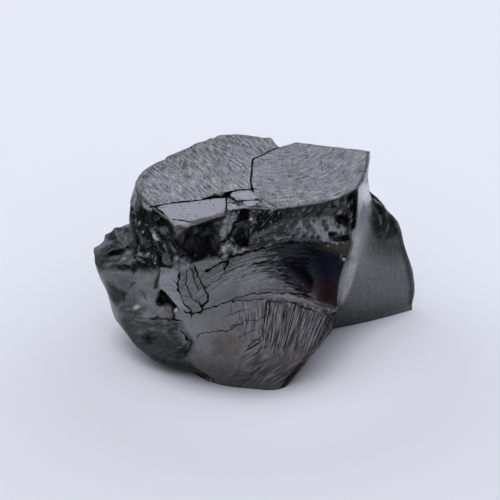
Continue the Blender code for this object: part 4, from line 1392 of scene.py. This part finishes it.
def stoneMaterial(name, layers, groups):
    # a painted light level below the stone's own makes it darker through metallic, one above adds a painted
    # silver highlight
    material, shader = principled(name)
    tree = material.node_tree

    def use(group, inputs):
        return put(tree, "Group", inputs, node_tree=groups[group]).outputs

    shader.inputs["IOR"].default_value = finishAndPaintedLight["ior"]
    where = put(tree, "TexCoord", {}).outputs["Object"]
    place = vectors(tree, "MULTIPLY", where, (1 / mm,) * 3)
    crack = use("hairlines", {"Side": stored(tree, "crackSide"), "Near": stored(tree, "crackNear")})["Mask"]
    light, rough, height = layers(tree, use, place)
    shade = clamped(tree, summed(tree, stored(tree, "shade"), light, 1.0), 0.0, finishAndPaintedLight["brightest"])
    share = maths(tree, "POWER", shade, plain["gamma"])
    # cracks and the painted shade in recesses darken the face
    hidden = maths(tree, "MAXIMUM", crack, times(tree, stored(tree, "cavityShade"), finishAndPaintedLight["cavityShade"]))
    dark = maths(tree, "MAXIMUM", hidden, maths(tree, "SUBTRACT", 1.0, share))
    dark = clamped(tree, dark, 0.0, finishAndPaintedLight["darkest"])
    above = maths(tree, "MAXIMUM", maths(tree, "SUBTRACT", share, 1.0), 0.0)
    lit = times(tree, above, finishAndPaintedLight["lift"], maths(tree, "SUBTRACT", 1.0, hidden))
    paintedHighlightAndTint = vectors(tree, "ADD", vectors(tree, "SCALE", finishAndPaintedLight["silver"], lit), stored(tree, "tint", "Vector"))
    own = vectors(tree, "SCALE", finishAndPaintedLight["black"], maths(tree, "SUBTRACT", 1.0, dark))
    lowered = summed(tree, height, (crack, -finishAndPaintedLight["crackDip"]))
    bump = put(tree, "Bump", {"Height": lowered, "Strength": 1.0, "Distance": mm})
    for socket, value in (
        ("Base Color", vectors(tree, "ADD", paintedHighlightAndTint, own)), ("Metallic", dark), ("Roughness", rough),
        ("Normal", bump.outputs["Normal"]),
    ):
        tree.links.new(value, shader.inputs[socket])
    return material


plateLook = {
    # strokes to the mm along and across the streaks, their turn in radians, light and depth in mm
    "hatch": (0.8, 3.6, 0.0, 2.9, 0.10),
    "cross": (0.9, 3.4, 1.9, 1.0, 0.05),
    "dash": (0.9, 4.4, 0.0, 0.5, 0.0),
    "bite": 0.6,
    "cloud": (0.6, 0.3),  # light and scale
    "grain": (0.03, 2.0),  # depth and scale
    "dots": (0.9, 1.9, 0.3),  # how dark, scale and size
    "calm": 0.85,  # how much less of it the slab and the fragments have
    "light": 0.15,
    "roughness": 0.21,
    "rougher": 0.25,  # with the strokes
}


def plateFinish(tree, use, place):
    flow = stored(tree, "flow", "Vector")
    strokes = {}
    for name in ("hatch", "cross", "dash"):
        along, across, turn, _, _ = plateLook[name]
        inputs = {"Place": flow, "Turn": turn, "Along": along, "Across": across, "Bite": plateLook["bite"]}
        strokes[name] = use("streaks", inputs)
    cloudLight, cloudScale = plateLook["cloud"]
    grainDepth, grainScale = plateLook["grain"]
    dotDark, dotScale, dotSize = plateLook["dots"]
    cloud = use("grain", {"Place": place, "Scale": cloudScale, "Fine": 0.8})["Height"]
    grain = use("grain", {"Place": place, "Scale": grainScale, "Fine": 0.6})["Height"]
    specks = use("specks", {"Place": place, "Scale": dotScale, "Size": dotSize})["Mask"]
    hatch, cross = strokes["hatch"]["Height"], strokes["cross"]["Height"]
    calm = summed(tree, 1.0, (stored(tree, "polish"), -plateLook["calm"]))
    light = summed(
        tree,
        (summed(tree, hatch, -0.5), plateLook["hatch"][3]),
        (summed(tree, cross, -0.5), plateLook["cross"][3]),
        (summed(tree, cloud, -0.9), cloudLight),
        (strokes["dash"]["Mask"], plateLook["dash"][3]),
    )
    light = summed(tree, (light, calm), plateLook["light"], (specks, -dotDark))
    height = summed(tree, (hatch, plateLook["hatch"][4]), (cross, plateLook["cross"][4]), (grain, grainDepth))
    return light, summed(tree, (hatch, plateLook["rougher"]), plateLook["roughness"]), height


fractureLook = {
    # streaks to the mm along and across, bite, and the light they make about a middle level
    "fine": (0.3, 3.4, 0.5, 1.0, 0.5),
    "hackle": (0.3, 5.5, 0.47, 3.6, 0.55),
    "comb": (0.5, 5.0, 0.5, 1.8, 0.52),
    "ripple": (0.5, 2.6, 0.5, 1.3, 0.52),
    "fineRest": 0.3,  # of the fine streaks' light, away from the arcs
    "fineShares": (0.75, 0.65),  # of them everywhere, and how much less on the polish
    "mottle": 0.3,
    "pocks": (0.12, 1.5, 0.26),  # how dark, scale and size
    "shards": {"Scale": 2.2, "Stretch": 0.45, "Few": 0.6},
    "leaves": {"Scale": 0.8, "Stretch": 0.5, "Few": 0.7},
    "crumbLights": (0.9, 0.6, 0.7),  # painted highlights of shards, leaves and glitter
    "glitter": (3.2, 0.4),  # painted glints: scale and size
    "depths": (0.09, 0.3, 0.3, 0.05),  # mm, of fine streaks, hackles, shards and grain
    "mirror": (0.09, 0.35, 0.6),  # roughness, and where the polish begins and is full
    "mirrorStreaks": 2.2,
    "roughness": 0.14,
    "grainRough": 0.16,
    "crumbRough": 0.75,
}


def fractureFinish(tree, use, place):
    flow = stored(tree, "flow", "Vector")
    polish, crumb = stored(tree, "polish"), stored(tree, "crumb")
    arcs, hackle = stored(tree, "striae"), stored(tree, "hackle")

    def weighed(value, middle, weight):
        return times(tree, summed(tree, value, -middle), weight)

    lines, strengths = {}, {}
    for name in ("fine", "hackle", "comb", "ripple"):
        along, across, bite, weight, middle = fractureLook[name]
        inputs = {"Place": flow, "Along": along, "Across": across, "Bite": bite}
        lines[name] = use("streaks", inputs)["Height"]
        strengths[name] = weighed(lines[name], middle, weight)
    pockDark, pockScale, pockSize = fractureLook["pocks"]
    glitterScale, glitterSize = fractureLook["glitter"]
    grain = use("grain", {"Place": place, "Scale": 1.6, "Fine": 0.6})["Height"]
    pocks = use("specks", {"Place": place, "Scale": pockScale, "Size": pockSize})["Mask"]
    shards = use("shards", {"Place": flow, **fractureLook["shards"]})
    leaves = use("shards", {"Place": flow, **fractureLook["leaves"]})
    glitter = use("specks", {"Place": flow, "Scale": glitterScale, "Size": glitterSize})["Mask"]

    smoothness, begins, full = fractureLook["mirror"]
    streaked = summed(tree, polish, weighed(lines["fine"], 0.5, fractureLook["mirrorStreaks"]))
    mirror = ramp(tree, streaked, begins, full)
    rougher = maths(tree, "SUBTRACT", 1.0, mirror)
    share, less = fractureLook["fineShares"]
    fineShare = summed(tree, share, (polish, -less))
    shardLight, leafLight, glitterLight = fractureLook["crumbLights"]
    light = summed(
        tree,
        weighed(grain, 0.78, fractureLook["mottle"]),
        (pocks, -pockDark),
        (arcs, fineShare, strengths["fine"]),
        (fineShare, strengths["fine"], fractureLook["fineRest"]),
        (hackle, strengths["hackle"]),
        (stored(tree, "comb"), strengths["comb"]),
        (stored(tree, "ripple"), strengths["ripple"]),
        (crumb, weighed(shards["Light"], 0.2, shardLight)),
        (crumb, weighed(leaves["Light"], 0.1, leafLight)),
        (crumb, glitter, glitterLight),
    )
    fineDepth, hackleDepth, shardDepth, grainDepth = fractureLook["depths"]
    height = summed(
        tree,
        (lines["fine"], fineDepth, arcs, rougher),
        (lines["hackle"], hackleDepth, hackle),
        (shards["Height"], shardDepth, crumb),
        (grain, grainDepth, summed(tree, (rougher, 0.95), 0.05)),
    )
    wide = summed(tree, (grain, fractureLook["grainRough"]), fractureLook["roughness"])
    rough = mixed(tree, mirror, wide, smoothness, "FLOAT")
    return clamped(tree, light, -1.0, 1.0), summed(tree, rough, (crumb, fractureLook["crumbRough"])), height


studio = {
    "floorSize": 4.0,
    "paperNear": (0.78, 0.785, 0.79),
    "paperFar": (0.86, 0.87, 0.88),
    "paperReach": (-0.03, 0.03),  # where the paper's painted shade changes, along Y; it is darker towards the front
    "paperPaintedGlow": (0.95, 0.955, 0.965),  # painted light close around the stone
    "glowReach": (0.034, 0.016),
    "paintedContactShadow": (0.16, 0.16, 0.17),  # painted shadow, where the stone nearly touches the paper
    "contactReach": 0.010,
    "contactShares": (0.68, 0.12),  # of open sky, from plain paper to the full painted shadow
    "paperRoughness": 0.9,
    "paperSpecular": 0.1,
    "domeColour": (0.93, 0.955, 1.07),
    "domeStrength": 1.0,
    "darkColour": (0.02, 0.02, 0.025),
    "darkTowards": (0.12, -0.85, 0.5),  # the unlit side of the dome, seen in reflections only
    "darkCosines": (0.52, 0.72),
}


def studioFloor():
    bpy.ops.mesh.primitive_plane_add(size=studio["floorSize"], location=(0, 0, 0))
    floor = bpy.context.object
    floor.name = "floor"
    material, shader = principled("palePaper")
    tree = material.node_tree
    # the paper's colour carries painted light: darker towards the front, painted light around the stone and a
    # painted shadow where the stone nearly touches it
    place = put(tree, "NewGeometry", {}).outputs["Position"]
    deep = put(tree, "SeparateXYZ", {"Vector": place}).outputs["Y"]
    away = put(tree, "VectorMath", {0: place}, operation="LENGTH").outputs["Value"]
    openness = put(tree, "AmbientOcclusion", {"Distance": studio["contactReach"]}).outputs["AO"]
    paper = (*studio["paperNear"], 1)
    for value, reach, soft, colour in (
        (deep, "paperReach", True, "paperFar"), (away, "glowReach", True, "paperPaintedGlow"),
        (openness, "contactShares", False, "paintedContactShadow"),
    ):
        paper = mixed(tree, ramp(tree, value, *studio[reach], soft), paper, (*studio[colour], 1))
    tree.links.new(paper, shader.inputs["Base Color"])
    shader.inputs["Roughness"].default_value = studio["paperRoughness"]
    shader.inputs["Specular IOR Level"].default_value = studio["paperSpecular"]
    floor.data.materials.append(material)


def studioLight():
    # an even dome, whose side in front of the stone reflects dark
    world = bpy.data.worlds.new("dome")
    world.use_nodes = True
    tree = world.node_tree
    background = tree.nodes["Background"]
    background.inputs["Strength"].default_value = studio["domeStrength"]
    towards = put(tree, "TexCoord", {}).outputs["Generated"]
    inputs = {0: towards, 1: Vector(studio["darkTowards"]).normalized()}
    cosine = put(tree, "VectorMath", inputs, operation="DOT_PRODUCT").outputs["Value"]
    glossy = put(tree, "LightPath", {}).outputs["Is Glossy Ray"]
    dark = times(tree, ramp(tree, cosine, *studio["darkCosines"]), glossy)
    shade = mixed(tree, dark, (*studio["domeColour"], 1), (*studio["darkColour"], 1))
    tree.links.new(shade, background.inputs["Color"])
    bpy.context.scene.world = world


def camera(slide):
    forward, _ = sightLines()
    data = bpy.data.cameras.new("camera")
    data.lens = view["lens"]
    data.sensor_width = view["sensor"]
    data.clip_start = 0.01
    made = bpy.data.objects.new("camera", data)
    made.location = (np.array(view["target"]) + slide - forward * view["distance"]) * mm
    made.rotation_euler = (np.radians(90 - view["elevation"]), 0, 0)
    bpy.context.scene.collection.objects.link(made)
    bpy.context.scene.camera = made


bpy.context.scene.view_settings.view_transform = "Standard"
lump, slide = stone()
report(f"stone meshed, {sum(len(p.vertices) - 2 for p in lump.data.polygons)} triangles")
groups = {
    "grain": grainGroup(), "streaks": streakGroup(), "hairlines": hairlineGroup(), "specks": speckGroup(),
    "shards": shardGroup(),
}
lump.data.materials.append(stoneMaterial("shungitePlate", plateFinish, groups))
lump.data.materials.append(stoneMaterial("shungiteFracture", fractureFinish, groups))
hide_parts("stone")
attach(lump, "root")
studioFloor()
studioLight()
camera(slide)
report("studio set")
